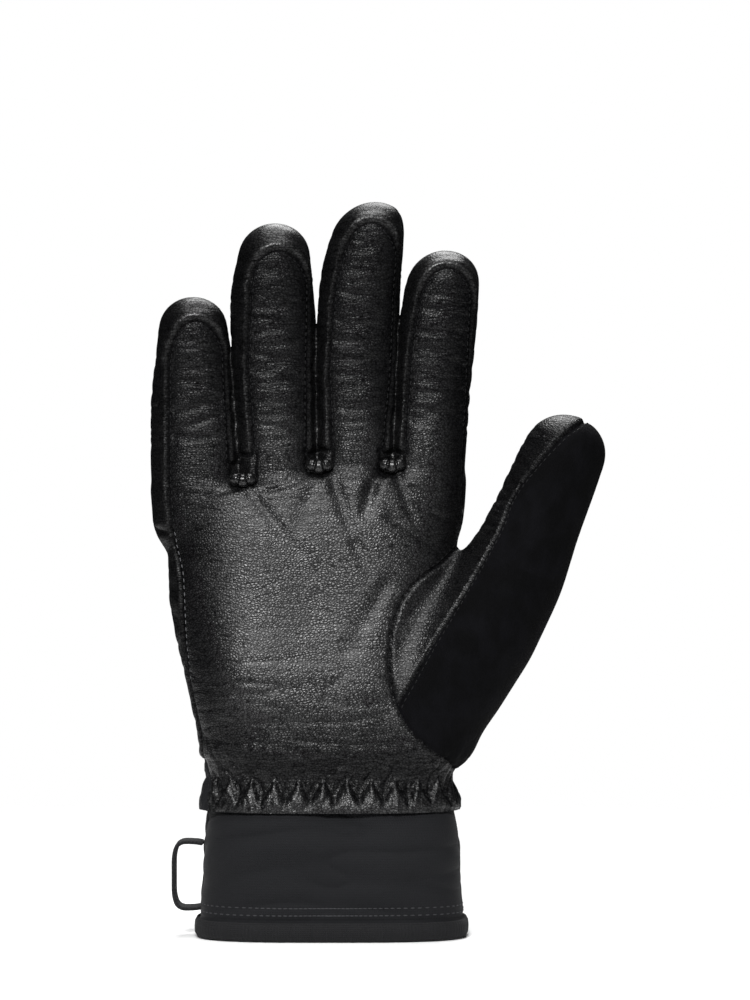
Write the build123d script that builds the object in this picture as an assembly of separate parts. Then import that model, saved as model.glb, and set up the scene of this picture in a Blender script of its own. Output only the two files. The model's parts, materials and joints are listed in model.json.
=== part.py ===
from build123d import *
from math import radians, tan
import os

# A right-hand insulated ski glove, as an assembly of its leather panels, liners, cuff and strap.
#
# Frame, in millimetres: the origin is the centre of the cuff's mouth, +Z runs from the mouth to the
# fingertips, the palm faces -Y and the thumb is on the +X side. Every finger is cut at its knuckle and its
# middle joint, so that each segment is a rigid body. A segment hinges on the palm-side line of its own lower
# end, where the leather creases, and so it opens away from its neighbour at the back and never runs into it.

# Driving dimensions
LEATHER = 1.2  # shell leather and cuff fabric
LINER = 3.0  # insulation quilted to its fleece lining
ELASTIC, PAD = 1.0, 2.0  # the wrist's elastic and the knuckles' padding, both let into the liner
CUFF_LINING = 2.2
CUFF_SECTIONS = [(0.0, 98.0, 56.0), (38.0, 96.0, 56.0), (50.0, 92.5, 51.5)]  # height, width, depth
CUFF_CORNER = 0.43  # corner radius as a share of the depth
HEM_Z = 6.0  # height of the binding at the cuff's mouth
WRIST_Z = 50.0  # height of the wrist's bending axis
WRIST_NOTCH = 10.5  # degrees cut from the hand and from the cuff, so that the wrist can bend
KNUCKLE_TOP_Z = 164.0  # top of the palm, where the finger collars start
ELASTIC_Z = (56.5, 63.5)  # the band that gathers the palm just above the wrist
ROOM = 60.0  # larger than any digit, for cutting boxes
REACH = 280.0  # larger than the glove, for cutting boxes
SIDE_SEAM_Y = -5.0  # where the palm panel meets the back panel
PAD_X, PAD_Y, PAD_Z = (-52.0, 36.0), (5.0, 80.0), (126.0, 152.0)  # the padding over the knuckles

# The palm's sections from the wrist up: height, centre in X, width, depth
PALM_SECTIONS = [
    (WRIST_Z, -0.5, 93.0, 52.0),
    (75.0, -2.0, 97.0, 50.0),
    (100.0, -4.5, 103.0, 46.0),
    (135.0, -7.0, 109.0, 40.0),
    (KNUCKLE_TOP_Z, -8.3, 111.0, 35.0),
]
PALM_CORNER = 0.44  # corner radius as a share of the depth

# Each digit: the middle of its knuckle, its sideways lean and its turn about its own axis in degrees, its
# widths and depths at the knuckle, the middle joint and the tip, and the lengths of its two segments
LITTLE = dict(
    at=(-49.0, 0.0, 171.0), lean=-1.5, turn=0.0,
    widths=(28.5, 28.5, 25.5), depths=(28.0, 27.0, 24.0), lengths=(20.0, 38.0),
)
RING = dict(
    at=(-19.8, 0.0, 175.0), lean=-0.8, turn=0.0,
    widths=(26.8, 28.0, 25.5), depths=(29.0, 28.0, 25.0), lengths=(31.0, 49.5),
)
MIDDLE = dict(
    at=(8.2, 0.0, 176.0), lean=3.0, turn=0.0,
    widths=(27.0, 28.0, 26.0), depths=(29.0, 28.0, 25.0), lengths=(36.0, 51.0),
)
INDEX = dict(
    at=(35.2, 0.0, 175.0), lean=4.5, turn=0.0,
    widths=(25.2, 25.6, 24.5), depths=(29.0, 28.0, 25.0), lengths=(29.0, 42.5),
)
THUMB = dict(
    at=(65.2, -7.0, 131.5), lean=24.0, turn=-48.0,
    widths=(33.0, 32.0, 29.0), depths=(34.0, 31.5, 28.0), lengths=(27.0, 33.0),
)
FINGERS = {"little": LITTLE, "ring": RING, "middle": MIDDLE, "index": INDEX}
KNUCKLE_CURVE, MIDDLE_CURVE = 4.0, 8.0  # degrees that each segment is curved forward at rest
COLLAR = 20.0  # height of the sleeve that carries a finger, down into the palm
TIP_ROLL = 11.0  # how far the back panel rolls over the fingertip
PALM_EDGE, BACK_EDGE = 5.5, 6.5  # depth of a digit's palm-side panel and of its back panel

# The thumb's root runs down into the side of the palm, and is smaller at its lower end
THUMB_ROOT = 62.0
THUMB_ROOT_SIZE = (20.0, 26.0)

STRAP_LENGTH, STRAP_HEIGHT, STRAP_THICK = 58.0, 25.0, 1.6
STRAP_Z = 25.0
PATCH_THICK = 0.8
HINGE_X = 25.0  # the strap's sewn edge, on the thumb side of the cuff's back


def section(width, depth, corner, z, x=0.0):
    return Plane.XY.offset(z) * Pos(x, 0) * RectangleRounded(width, depth, corner)


def tube(ends, inset=0.0):
    """A tapered solid through (z, width, depth) ends, with its sides set in by inset."""
    faces = []
    for z, width, depth in ends:
        w, d = width - 2 * inset, depth - 2 * inset
        faces.append(section(w, d, 0.40 * min(width, depth) - inset, z))
    return loft(faces, ruled=True)


def palm(inset=0.0):
    faces = []
    for z, x, width, depth in PALM_SECTIONS:
        top = inset if z == KNUCKLE_TOP_Z else 0.0
        faces.append(section(width - 2 * inset, depth - 2 * inset, PALM_CORNER * depth - inset, z - top, x))
    return loft(faces, ruled=True)


def box(x=(-ROOM, ROOM), y=(-ROOM, ROOM), z=(-ROOM, ROOM)):
    """A box between those limits in each direction."""
    size = [limits[1] - limits[0] for limits in (x, y, z)]
    return Pos(x[0], y[0], z[0]) * Box(*size, align=(Align.MIN, Align.MIN, Align.MIN))


def slab(z):
    """All of the glove between two heights."""
    return box(x=(-REACH, REACH), y=(-REACH, REACH), z=z)


def hinged(place, depth, height, curve):
    """The place of a segment that stands on another one's end, turned forward about its palm-side edge."""
    return place * Pos(0, -depth / 2, height) * Rot(curve, 0, 0) * Pos(0, depth / 2, 0)


def digit_places(d):
    """The places of a finger's collar, base segment and tip segment."""
    collar = Pos(*d["at"]) * Rot(0, d["lean"], 0) * Rot(0, 0, d["turn"])
    base = hinged(collar, d["depths"][0], 0.0, KNUCKLE_CURVE)
    tip = hinged(base, d["depths"][1], d["lengths"][0], MIDDLE_CURVE)
    return collar, base, tip


def base_solid(d, inset, overrun=0.0):
    (w0, w1, _), (t0, t1, _), length = d["widths"], d["depths"], d["lengths"][0]
    return tube([(-overrun, w0, t0), (length + overrun, w1, t1)], inset)


def tip_solid(d, inset, overrun=0.0):
    (_, w1, w2), (_, t1, t2), length = d["widths"], d["depths"], d["lengths"][1]
    body = tube([(-overrun, w1, t1), (length - inset, w2, t2)], inset)
    top = body.faces().sort_by(Axis.Z)[-1]
    return fillet(top.edges(), 0.36 * t2 - 0.8 * inset)


def split_panels(shell, depth, roll_z):
    """Cuts a segment's shell into its palm-side panel, its two side walls and its back panel, which takes
    the whole tip above roll_z."""
    front, back = PALM_EDGE - depth / 2, depth / 2 - BACK_EDGE
    below = (-ROOM, roll_z)
    palm_side = shell & box(y=(-ROOM, front), z=below)
    sides = shell & box(y=(front, back), z=below)
    return palm_side, sides, shell - palm_side - sides


def build_segment(name, solid, d, place, roll_z, labels):
    outer, mid, inner = solid(d, 0.0), solid(d, LEATHER, 1.0), solid(d, LEATHER + LINER, 2.0)
    panels = split_panels(outer - mid, d["depths"][1], roll_z)
    nodes = {f"{name}_{label}": place * panel for label, panel in zip(labels, panels)}
    liner = (mid & outer) - inner
    nodes[f"{name}_liner"] = place * liner
    return nodes


def build_digit(name, d, labels=("palm_side", "side_walls", "back")):
    _, base, tip = digit_places(d)
    nodes = build_segment(f"{name}_base", base_solid, d, base, ROOM, labels)
    nodes |= build_segment(f"{name}_tip", tip_solid, d, tip, d["lengths"][1] - TIP_ROLL, labels)
    return nodes


def collar_solid(d, inset, top=0.0):
    width, depth = d["widths"][0], d["depths"][0]
    return digit_places(d)[0] * tube([(-COLLAR, width, depth), (top, width, depth)], inset)


def thumb_root(inset, top=0.0):
    width, depth = THUMB_ROOT_SIZE
    ends = [(-THUMB_ROOT, width, depth), (top, THUMB["widths"][0], THUMB["depths"][0])]
    return digit_places(THUMB)[0] * tube(ends, inset)


def hand_solid(inset, top=0.0):
    body = palm(inset)
    for d in FINGERS.values():
        body += collar_solid(d, inset, top)
    return body


def wrist_notch():
    """The wedge that is open at the palm and at the back, with its edge on the wrist's axis."""
    rise = ROOM * tan(radians(WRIST_NOTCH))
    half = Plane.YZ * Polygon((0, 0), (ROOM, rise), (ROOM, -rise), align=None)
    wedge = extrude(half, REACH, both=True)
    wedge += mirror(wedge, Plane.XZ)
    return Pos(0, 0, WRIST_Z) * wedge


def build_hand():
    outer, mid, inner = hand_solid(0.0), hand_solid(LEATHER, 1.0), hand_solid(LEATHER + LINER, 2.0)
    root_outer, root_mid = thumb_root(0.0), thumb_root(LEATHER, 1.0)
    root_inner = thumb_root(LEATHER + LINER, 2.0)
    above = slab((WRIST_Z, REACH)) - wrist_notch()

    shell = ((outer - mid) - root_mid) & above
    front = box(x=(-REACH, REACH), y=(-REACH, SIDE_SEAM_Y), z=(0, REACH))
    nodes = {"palm_panel": shell & front, "back_panel": shell - front}

    root_shell = ((root_outer - root_mid) - outer) & above
    nodes |= {"thumb_root_palm_side": root_shell & front, "thumb_root_back": root_shell - front}

    liner = (((mid + root_mid) & (outer + root_outer)) - inner - root_inner) & above
    nodes["thumb_root_liner"] = liner - outer
    elastic = (palm(LEATHER) - palm(LEATHER + ELASTIC)) & slab(ELASTIC_Z)
    elastic = (elastic - root_inner) & above
    pad = (palm(LEATHER) - palm(LEATHER + PAD)) & box(PAD_X, PAD_Y, PAD_Z)
    hand_liner = (liner & outer) - elastic - pad
    nodes |= {"palm_liner": hand_liner & front, "back_liner": hand_liner - front}
    return nodes | {"wrist_elastic": elastic, "knuckle_pad": pad}


def cuff_solid(inset, overrun=0.0):
    """The cuff's outline set in by inset, carried past its mouth by overrun."""
    sections = list(CUFF_SECTIONS)
    if overrun:
        sections = [(-overrun, *sections[0][1:])] + sections
    faces = [section(w - 2 * inset, d - 2 * inset, CUFF_CORNER * d - inset, z) for z, w, d in sections]
    return loft(faces, ruled=True)


def build_cuff():
    above_mouth = slab((0.0, WRIST_Z)) - wrist_notch()
    shell = (cuff_solid(0.0) - cuff_solid(LEATHER, 1.0)) & above_mouth
    inside = (cuff_solid(LEATHER) - cuff_solid(LEATHER + CUFF_LINING, 1.0)) & above_mouth
    binding = (cuff_solid(-1.0) - cuff_solid(0.0, 1.0)) & slab((0.0, HEM_Z))

    side_x, back_y = -CUFF_SECTIONS[0][1] / 2, CUFF_SECTIONS[0][2] / 2
    low, high = STRAP_Z - STRAP_HEIGHT / 2, STRAP_Z + STRAP_HEIGHT / 2
    loop_patch = box((-24.0, HINGE_X - 12.0), (back_y, back_y + PATCH_THICK), (low + 2.0, high - 2.0))
    anchor = box((HINGE_X + 2.0, HINGE_X + 10.5), (back_y, back_y + 2.4), (low, high)) - cuff_solid(0.0)

    loop_outer = box((side_x - 9.0, side_x), (-6.0, 6.0), (9.0, 35.0))
    loop_inner = box((side_x - 7.4, side_x + 1.0), (-7.0, 7.0), (12.0, 32.0))
    pull_loop = loop_outer - loop_inner - cuff_solid(0.0)
    cuff = {"cuff_shell": shell, "cuff_lining": inside, "cuff_binding": binding}
    return cuff | {"strap_loop_patch": loop_patch, "strap_anchor": anchor, "pull_loop": pull_loop}


def build_strap():
    inner_y = CUFF_SECTIONS[0][2] / 2 + 2 * PATCH_THICK
    low, high = STRAP_Z - STRAP_HEIGHT / 2, STRAP_Z + STRAP_HEIGHT / 2
    strap = box((HINGE_X - STRAP_LENGTH, HINGE_X), (inner_y, inner_y + STRAP_THICK), (low, high))
    hook = box((-22.0, HINGE_X - 14.0), (inner_y - PATCH_THICK, inner_y), (low + 2.5, high - 2.5))
    end = HINGE_X - STRAP_LENGTH
    tab = box((end - 8.0, end), (inner_y - 0.4, inner_y + STRAP_THICK + 0.6), (low + 3.0, high - 3.0))
    return {"strap": strap, "strap_hook_patch": hook, "strap_pull_tab": tab}


def build_all():
    nodes = build_hand() | build_cuff() | build_strap()
    for name, d in FINGERS.items():
        nodes |= build_digit(name, d)
    nodes |= build_digit("thumb", THUMB, labels=("palm_side", "side_walls", "nose_wipe"))
    return nodes


def main():
    os.makedirs("parts", exist_ok=True)
    for name, shape in build_all().items():
        solids = shape.solids()
        export_step(Compound(children=list(solids)) if len(solids) > 1 else solids[0], f"parts/{name}.step")


if __name__ == "__main__":
    main()
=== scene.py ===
import json
import math

import bpy
import numpy as np
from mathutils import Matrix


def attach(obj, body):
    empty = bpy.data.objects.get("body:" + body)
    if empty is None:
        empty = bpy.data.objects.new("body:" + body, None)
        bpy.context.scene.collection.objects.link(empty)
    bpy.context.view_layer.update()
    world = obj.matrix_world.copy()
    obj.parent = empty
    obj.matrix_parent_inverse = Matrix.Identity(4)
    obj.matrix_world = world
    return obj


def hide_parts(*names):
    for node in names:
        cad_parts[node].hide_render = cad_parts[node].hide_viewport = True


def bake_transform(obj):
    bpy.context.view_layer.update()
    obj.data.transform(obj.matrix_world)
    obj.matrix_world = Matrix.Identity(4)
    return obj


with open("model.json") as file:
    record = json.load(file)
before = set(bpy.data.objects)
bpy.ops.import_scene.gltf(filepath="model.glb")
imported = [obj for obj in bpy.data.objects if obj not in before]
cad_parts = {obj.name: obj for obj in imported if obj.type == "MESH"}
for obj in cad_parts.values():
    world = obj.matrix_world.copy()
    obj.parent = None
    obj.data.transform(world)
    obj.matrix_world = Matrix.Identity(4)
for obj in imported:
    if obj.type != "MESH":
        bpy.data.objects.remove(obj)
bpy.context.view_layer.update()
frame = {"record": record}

import openvdb
from mathutils import Vector, noise
from mathutils.bvhtree import BVHTree
from mathutils.kdtree import KDTree

# The glove's skin is one surface, meshed from a field of distances and then cut into its panels
# along the seams. Shapes are worked out in millimetres, in the frame's axes: X towards the thumb,
# Y towards the back of the hand, Z towards the fingertips. Meshes are in metres.
MM = 0.001
FULL_TURN = 2 * math.pi
VOXEL = 0.8

PHOTO_CENTRE = (15.8, 158.4)  # X and Z at the middle of the picture
PHOTO_HEIGHT = 360.0  # height that the picture spans at the palm
CAMERA_DISTANCE = 1400.0
PALM_FRONT_Y = -18.0

LEATHER_END_Z = 46.0  # lower edge of the leather, where the cuff's fabric starts
GATHER_Z = 57.0  # middle of the wrist's elastic
ZIGZAG_LOW, ZIGZAG_HIGH = 50.5, 59.2
ZIGZAGS = 27  # how many go round the wrist
ZIGZAG_PITCH = 9.4
ZIGZAG_PEAK = (5.7, -23.8)  # X and Y of one of the zigzag's upper points

# Kinds of panel
PALM, WALL, BACK, KNUCKLE, SHELL, THUMB, NOSE = range(7)
PANEL_NAMES = (
    "palm", "walls", "back_leather", "knuckle_guard", "back_shell", "thumb_leather", "nose_wipe",
)

JOINTS = {joint["name"]: joint for joint in frame["record"]["behaviour"]["joints"]}


def unit(v):
    return v / np.linalg.norm(v)


def smoothstep(low, high, x):
    t = np.clip((x - low) / (high - low), 0.0, 1.0)
    return t * t * (3.0 - 2.0 * t)


def smooth_min(a, b, reach):
    h = np.clip(0.5 + 0.5 * (b - a) / reach, 0.0, 1.0)
    return b + (a - b) * h - reach * h * (1.0 - h)


def smooth_max(a, b, reach):
    return -smooth_min(-a, -b, reach)


def bump(x, width):
    """1 at x = 0, falling to nothing at a few widths."""
    return np.exp(-((x / width) ** 2))


def eased(knots, blur):
    """A function through (position, value, ...) knots: straight lines with eased corners."""
    knots = np.array(knots, float)
    step = 0.5
    x = np.arange(knots[0, 0] - 40.0, knots[-1, 0] + 40.0, step)
    kernel = np.hanning(2 * int(blur / step) + 3)
    kernel /= kernel.sum()
    tables = []
    for column in knots.T[1:]:
        y = np.interp(x, knots[:, 0], column)
        padded = np.pad(y, len(kernel) // 2, mode="edge")
        tables.append(np.convolve(padded, kernel, mode="valid"))
    if len(tables) == 1:
        return lambda at: np.interp(at, x, tables[0])
    return lambda at: [np.interp(at, x, table) for table in tables]


# ---------------------------------------------------------------- shapes


class Digit:
    """A finger or the thumb. Its axes and its two creases come from the frame's joints."""

    def __init__(self, name, depth, tip, widths, depths, drift, root, roundness=2.3):
        self.name = name
        self.lower, self.upper = JOINTS[f"{name}_knuckle"], JOINTS[f"{name}_middle"]
        crease, knee = np.array(self.lower["pos_m"]) / MM, np.array(self.upper["pos_m"]) / MM
        axis = np.array(self.lower["axis"])
        self.along = unit(knee - crease)
        self.across = unit(axis - self.along * (axis @ self.along))
        self.back = np.cross(self.along, self.across)
        self.origin = crease + self.back * depth / 2
        self.knee = np.linalg.norm(knee - crease)
        self.tip = tip
        self.root = root
        self.roundness = roundness
        self.half_width, self.half_depth = eased(widths, 8.0), eased(depths, 8.0)
        self.drift = eased(drift, 14.0)

    def local(self, points):
        """Across, back and along the digit, from the middle of its knuckle."""
        d = points - self.origin
        return d @ self.across, d @ self.back, d @ self.along

    def centred(self, points):
        u, v, s = self.local(points)
        dx, dy = self.drift(s)
        u = u - dx * self.across[0] - dy * self.across[1]
        v = v - dx * self.back[0] - dy * self.back[1]
        return u, v, s

    def field(self, points):
        u, v, s = self.centred(points)
        a, b = self.half_width(s), self.half_depth(s)
        n = self.roundness
        ring = ((np.abs(u) / a) ** n + (np.abs(v) / b) ** n) ** (2.0 / n)
        dome, tail = 0.95 * b, 14.0
        rise = np.clip((s - self.tip + dome) / dome, 0.0, None)
        fall = np.clip((self.root + tail - s) / tail, 0.0, None)
        return (np.sqrt(ring + rise**2.3 + fall**2) - 1.0) * np.minimum(a, b)

    def at(self, s, v=0.0):
        """The point on the digit's line at a distance along it, in metres."""
        return tuple((self.origin + self.along * s + self.back * v) * MM)


# Stations along a finger start at its knuckle: half-widths, half-depths, and how far its middle
# drifts from the joints' straight line in X and Y.
LITTLE = Digit(
    "little", 28.0, 60.7,
    widths=[(-20, 17.2), (0, 17.6), (24, 16.8), (36, 14.6), (46, 13.0), (60, 11.2)],
    depths=[(-20, 14.0), (0, 14.2), (22, 13.8), (45, 12.8), (60, 11.4)],
    drift=[(-20, 0.6, 0), (0, 0.6, 0), (22, 0.5, 0.3), (42, -0.2, -2.0), (60, 0.2, -5.0)],
    root=-34.0,
)
RING = Digit(
    "ring", 29.0, 83.2,
    widths=[(-20, 15.8), (0, 16.2), (30, 16.9), (50, 16.6), (60, 15.2), (68, 13.7), (83, 11.6)],
    depths=[(-20, 14.5), (0, 14.8), (32, 14.4), (55, 13.8), (82, 12.0)],
    drift=[
        (-20, -0.2, 0), (0, -0.2, 0), (30, -0.7, 0.4), (48, -1.8, -1.0), (60, -1.0, -2.4),
        (70, 0.0, -3.8), (83, 0.4, -5.6),
    ],
    root=-36.0,
)
MIDDLE = Digit(
    "middle", 29.0, 90.2,
    widths=[
        (-20, 15.8), (0, 16.0), (30, 16.6), (46, 16.0), (58, 15.3), (70, 14.6), (80, 13.4),
        (90, 11.8),
    ],
    depths=[(-20, 14.5), (0, 14.8), (36, 14.4), (60, 13.8), (89, 12.0)],
    drift=[
        (-20, 0.6, 0), (0, 0.4, 0), (30, -1.2, 0.4), (52, -1.8, -1.0), (76, 0.8, -4.0),
        (90, 4.2, -6.0),
    ],
    root=-36.0,
)
INDEX = Digit(
    "index", 29.0, 73.7,
    widths=[(-20, 14.6), (0, 14.8), (30, 15.2), (48, 15.0), (58, 13.8), (66, 12.6), (73, 11.4)],
    depths=[(-20, 14.5), (0, 14.8), (30, 14.2), (50, 13.2), (73, 11.6)],
    drift=[
        (-20, -1.2, 0), (0, -1.4, 0), (26, -1.7, 0.4), (48, -0.9, -1.8), (62, 0.3, -3.6),
        (73, 1.6, -5.2),
    ],
    root=-36.0,
)
THUMB_DIGIT = Digit(
    "thumb", 34.0, 61.5,
    widths=[(-74, 11.8), (-50, 16.3), (-26, 19.0), (0, 18.0), (20, 16.4), (40, 15.4), (61, 12.6)],
    depths=[(-74, 13.0), (-50, 18.5), (-26, 20.0), (0, 17.8), (20, 16.0), (40, 15.4), (61, 14.0)],
    drift=[
        (-74, -5.4, -3), (-50, -3.8, -4), (-26, -1.8, -3), (0, 1.2, -1), (26, 0.6, 0),
        (45, 0.4, -0.5), (61, 1.2, -1),
    ],
    root=-80.0,
    roundness=2.15,
)
FINGERS = (LITTLE, RING, MIDDLE, INDEX)
DIGITS = FINGERS + (THUMB_DIGIT,)

# Neighbouring fingers press against each other at these planes: X at the crotch and its lean
DIVIDERS = ((-34.3, -0.07), (-5.6, -0.01), (22.35, 0.037))
CROTCH_Z = 172.0
PRESS_GAP = 0.45  # half of the gap that is left between two fingers
PRESS_BULGE = 3.0  # how far one finger's wall swells into the next, half way back

# The hand's sections: height, leftmost and rightmost X, front and back Y
HAND_SECTIONS = [
    (30, -47.0, 46.5, -25.5, 25.5),
    (47, -46.5, 46.0, -25.0, 25.0),
    (57, -45.6, 44.6, -23.8, 23.8),
    (68, -47.6, 45.6, -25.6, 25.2),
    (80, -50.4, 45.6, -26.2, 25.0),
    (94, -53.4, 45.0, -25.8, 24.0),
    (108, -56.8, 44.6, -24.4, 22.6),
    (122, -59.4, 44.4, -22.8, 21.0),
    (146, -60.0, 46.0, -19.8, 18.4),
    (158, -61.6, 47.2, -17.8, 16.8),
    (168, -64.0, 47.6, -16.2, 15.8),
    (178, -65.4, 47.8, -15.2, 15.2),
]
hand_section = eased(HAND_SECTIONS, 9.0)


WRIST_ROUNDNESS = 2.75


def rounded_ring(turn, a, b, roundness):
    """The radius at each turn of a rounded oval with half-width a and half-depth b."""
    n = roundness
    return (np.abs(np.cos(turn) / a) ** n + np.abs(np.sin(turn) / b) ** n) ** (-1 / n)


def wrist_outline():
    """Turns round the wrist, and the share of the way round its outline that each has reached."""
    turn = np.linspace(0, FULL_TURN, 721)
    left, right, front, back = hand_section(GATHER_Z)
    ring = rounded_ring(turn, (right - left) / 2, (back - front) / 2, WRIST_ROUNDNESS)
    outline = np.stack([ring * np.cos(turn), ring * np.sin(turn)], 1)
    reach = np.concatenate([[0.0], np.cumsum(np.linalg.norm(np.diff(outline, axis=0), axis=1))])
    return turn, reach / reach[-1]


WRIST_TURNS, WRIST_SHARES = wrist_outline()


def wrist_share(x, y):
    """The share of the way round the wrist."""
    return np.interp(np.arctan2(y, x) % FULL_TURN, WRIST_TURNS, WRIST_SHARES)


def zigzag_phase(x, y):
    """How many zigzags round the wrist a place is, counted from one of their upper points."""
    return ZIGZAGS * (wrist_share(x, y) - wrist_share(*ZIGZAG_PEAK))


def above_zigzag(points):
    """The distance from the zigzag stitching, more than 0 above it."""
    x, y, z = points.T
    share = np.abs(2.0 * zigzag_phase(x, y) % 2.0 - 1.0)
    tall = ZIGZAG_HIGH - ZIGZAG_LOW
    return (z - ZIGZAG_LOW - tall * share) / math.hypot(1.0, 2.0 * tall / ZIGZAG_PITCH)


def drawn_creases(points):
    """Creases that run up from the zigzag's lower points and lean outward: 1 in the crease."""
    x, y, z = points.T
    up = np.maximum(z - ZIGZAG_LOW, 0.0)
    lean = np.where(y < 0.0, np.interp(x, *CREASE_LEAN), 0.0)
    bent = x - lean * up * smoothstep(2.0, 12.0, up)
    drawn = zigzag_phase(bent, y)
    aside = np.abs(drawn % 1.0 - 0.5) * ZIGZAG_PITCH
    reach = 17.0 + 6.0 * np.sin(2.4 * np.floor(drawn))
    fading = smoothstep(reach, 0.3 * reach, up)
    return bump(aside, 0.9) * fading * smoothstep(0.0, 1.2, above_zigzag(points))


# How far the creases lean to +X for each millimetre that they rise, at several X
CREASE_LEAN = (
    [-46.0, -30.0, -19.0, -9.0, 5.0, 15.0, 30.0],
    [-0.9, -1.1, 0.0, 0.9, 0.8, 0.5, 0.2],
)


def hand_field(points):
    x, y, z = points.T
    left, right, front, back = hand_section(z)
    a, b = (right - left) / 2, (back - front) / 2
    across = np.abs((x - (left + right) / 2) / a)
    through = np.abs((y - (front + back) / 2) / b)
    body = ((across**3.0 + through**2.5) ** (1 / 2.7) - 1.0) * b
    top = np.interp(x, [-33.0, -5.0], [164.0, 168.5])
    return smooth_max(body, z - top, 5.0)


def past_divider(points, k):
    """How far points are to the +X side of the wall between two fingers."""
    x, lean = DIVIDERS[k]
    bulge = PRESS_BULGE * bump(points[:, 1] - 1.0, 6.5)
    return points[:, 0] - x - lean * (points[:, 2] - CROTCH_Z) - bulge


def finger_field(points, k):
    """A finger, pressed flat where its neighbours touch it."""
    field = FINGERS[k].field(points)
    for side, divider in ((1, k), (-1, k - 1)):
        if 0 <= divider < len(DIVIDERS):
            field = smooth_max(field, side * past_divider(points, divider) + PRESS_GAP, 2.6)
    return field


def skin_field(points):
    """Negative inside the glove. Near the skin it is close to the distance in millimetres."""
    reach = np.interp(points[:, 2], [112.0, 140.0], [9.0, 6.5])
    f = smooth_min(hand_field(points), THUMB_DIGIT.field(points), reach)
    f = smooth_max(f, LEATHER_END_Z - 12.0 - points[:, 2], 0.1)
    for k in range(len(FINGERS)):
        f = smooth_min(f, finger_field(points, k), 3.0)
    return f


# ---------------------------------------------------------------- seams

# A finger's front panel ends in an arch. Heights from the crotch up, with the panel's middle X and
# half-width, then the height where the arch starts and the arch's own height.
FRONT_PANELS = {
    "little": ([(160, -47.6, 11.8), (207, -48.9, 10.6), (216, -48.4, 10.0)], 209.0, 14.0),
    "ring": ([(164, -18.0, 9.7), (207, -19.6, 11.3), (235, -18.6, 10.7)], 235.0, 13.0),
    "middle": ([(164, 9.2, 9.2), (205, 10.4, 11.9), (235, 12.0, 11.3), (250, 14.6, 9.9)], 245.0, 13.0),
    "index": ([(164, 36.4, 10.9), (195, 38.2, 11.4), (215, 39.4, 11.0), (235, 42.0, 9.6)], 230.0, 12.0),
}
FRONT_PANEL_LINES = {name: eased(panel[0], 5.0) for name, panel in FRONT_PANELS.items()}

# The side seam of the palm, on the little finger's side: Z and X
SIDE_SEAM = [
    (40, -44), (70, -46.5), (93, -51.5), (108, -53.4), (132, -54.6), (146, -58.0), (162, -59.4),
]
side_seam = eased(SIDE_SEAM, 6.0)
# The thumb's hole in the palm, from the crotch down to the wrist: Z and X
THUMB_SEAM = [
    (58, 47), (64, 43), (69, 36), (76, 28.2), (84, 23.6), (96, 21.0), (110, 21.4), (122, 25.0),
    (130, 31.5), (135, 40.0), (142, 46.6), (150, 48),
]
thumb_seam = eased(THUMB_SEAM, 4.0)
# The nose wipe's edge, from the wrist to the tip: a line in X and Z
NOSE_EDGE = [
    (84, 23.6), (91, 27.7), (106, 36.0), (121, 45.2), (136, 54.2), (150, 61.6), (158, 64.2),
    (165, 68.6), (174, 76.0), (181, 82.6), (186, 89.6), (190, 97.0),
]
nose_edge = eased(NOSE_EDGE, 4.0)
BACK_SEAM_X = 41.0  # edge of the nose wipe on the back of the hand
THUMB_SPLIT = 3.0  # along the thumb: the leather below it belongs to the hand
FINGER_SPLIT = 0.0
GUARD_Z = 126.0  # lower edge of the knuckle guard
EDGE_END_Z = 64.0  # where the little finger's wall ends on the side of the hand
# Painted highlight: the side seam's stitches below that fold are coloured pale.
SIDE_FOLD_Z = 147.0  # the fold across that wall, below which the side seam has pale stitches


def arch(name, points):
    """Negative within a finger's front panel."""
    x, _, z = points.T
    _, start, height = FRONT_PANELS[name]
    middle, half = FRONT_PANEL_LINES[name](z)
    rise = np.clip(z - start, 0.0, None) / height
    return (np.sqrt(((x - middle) / half) ** 2 + rise**2) - 1.0) * half


def wall_back(finger, points):
    """Positive on the back panel, whose seam runs over the fingertip a little behind its middle."""
    _, v, s = finger.centred(points)
    return v - 0.32 * finger.half_depth(s)


def zones(points):
    """Which digit each point belongs to, or -1 on the hand."""
    fields = [finger_field(points, k) for k in range(len(FINGERS))] + [THUMB_DIGIT.field(points)]
    nearest = np.array(fields).argmin(axis=0)
    zone = np.full(len(points), -1)
    for k, digit in enumerate(DIGITS):
        split = THUMB_SPLIT if digit is THUMB_DIGIT else FINGER_SPLIT
        s = digit.local(points)[2]
        zone[(nearest == k) & (s > split)] = k
    return zone


def side_line(points):
    """Positive on the back, beyond the palm's side seams on the hand."""
    x, _, z = points.T
    return np.maximum(side_seam(z) - x, x - thumb_seam(z))


def nose_line(points):
    x, _, z = points.T
    return nose_edge(z) - x


def guard_line(points):
    """Positive on the knuckle guard."""
    x, _, z = points.T
    return z - GUARD_Z - 5.0 * smoothstep(-20.0, -58.0, x) - 0.06 * np.abs(x + 8.0)


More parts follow.
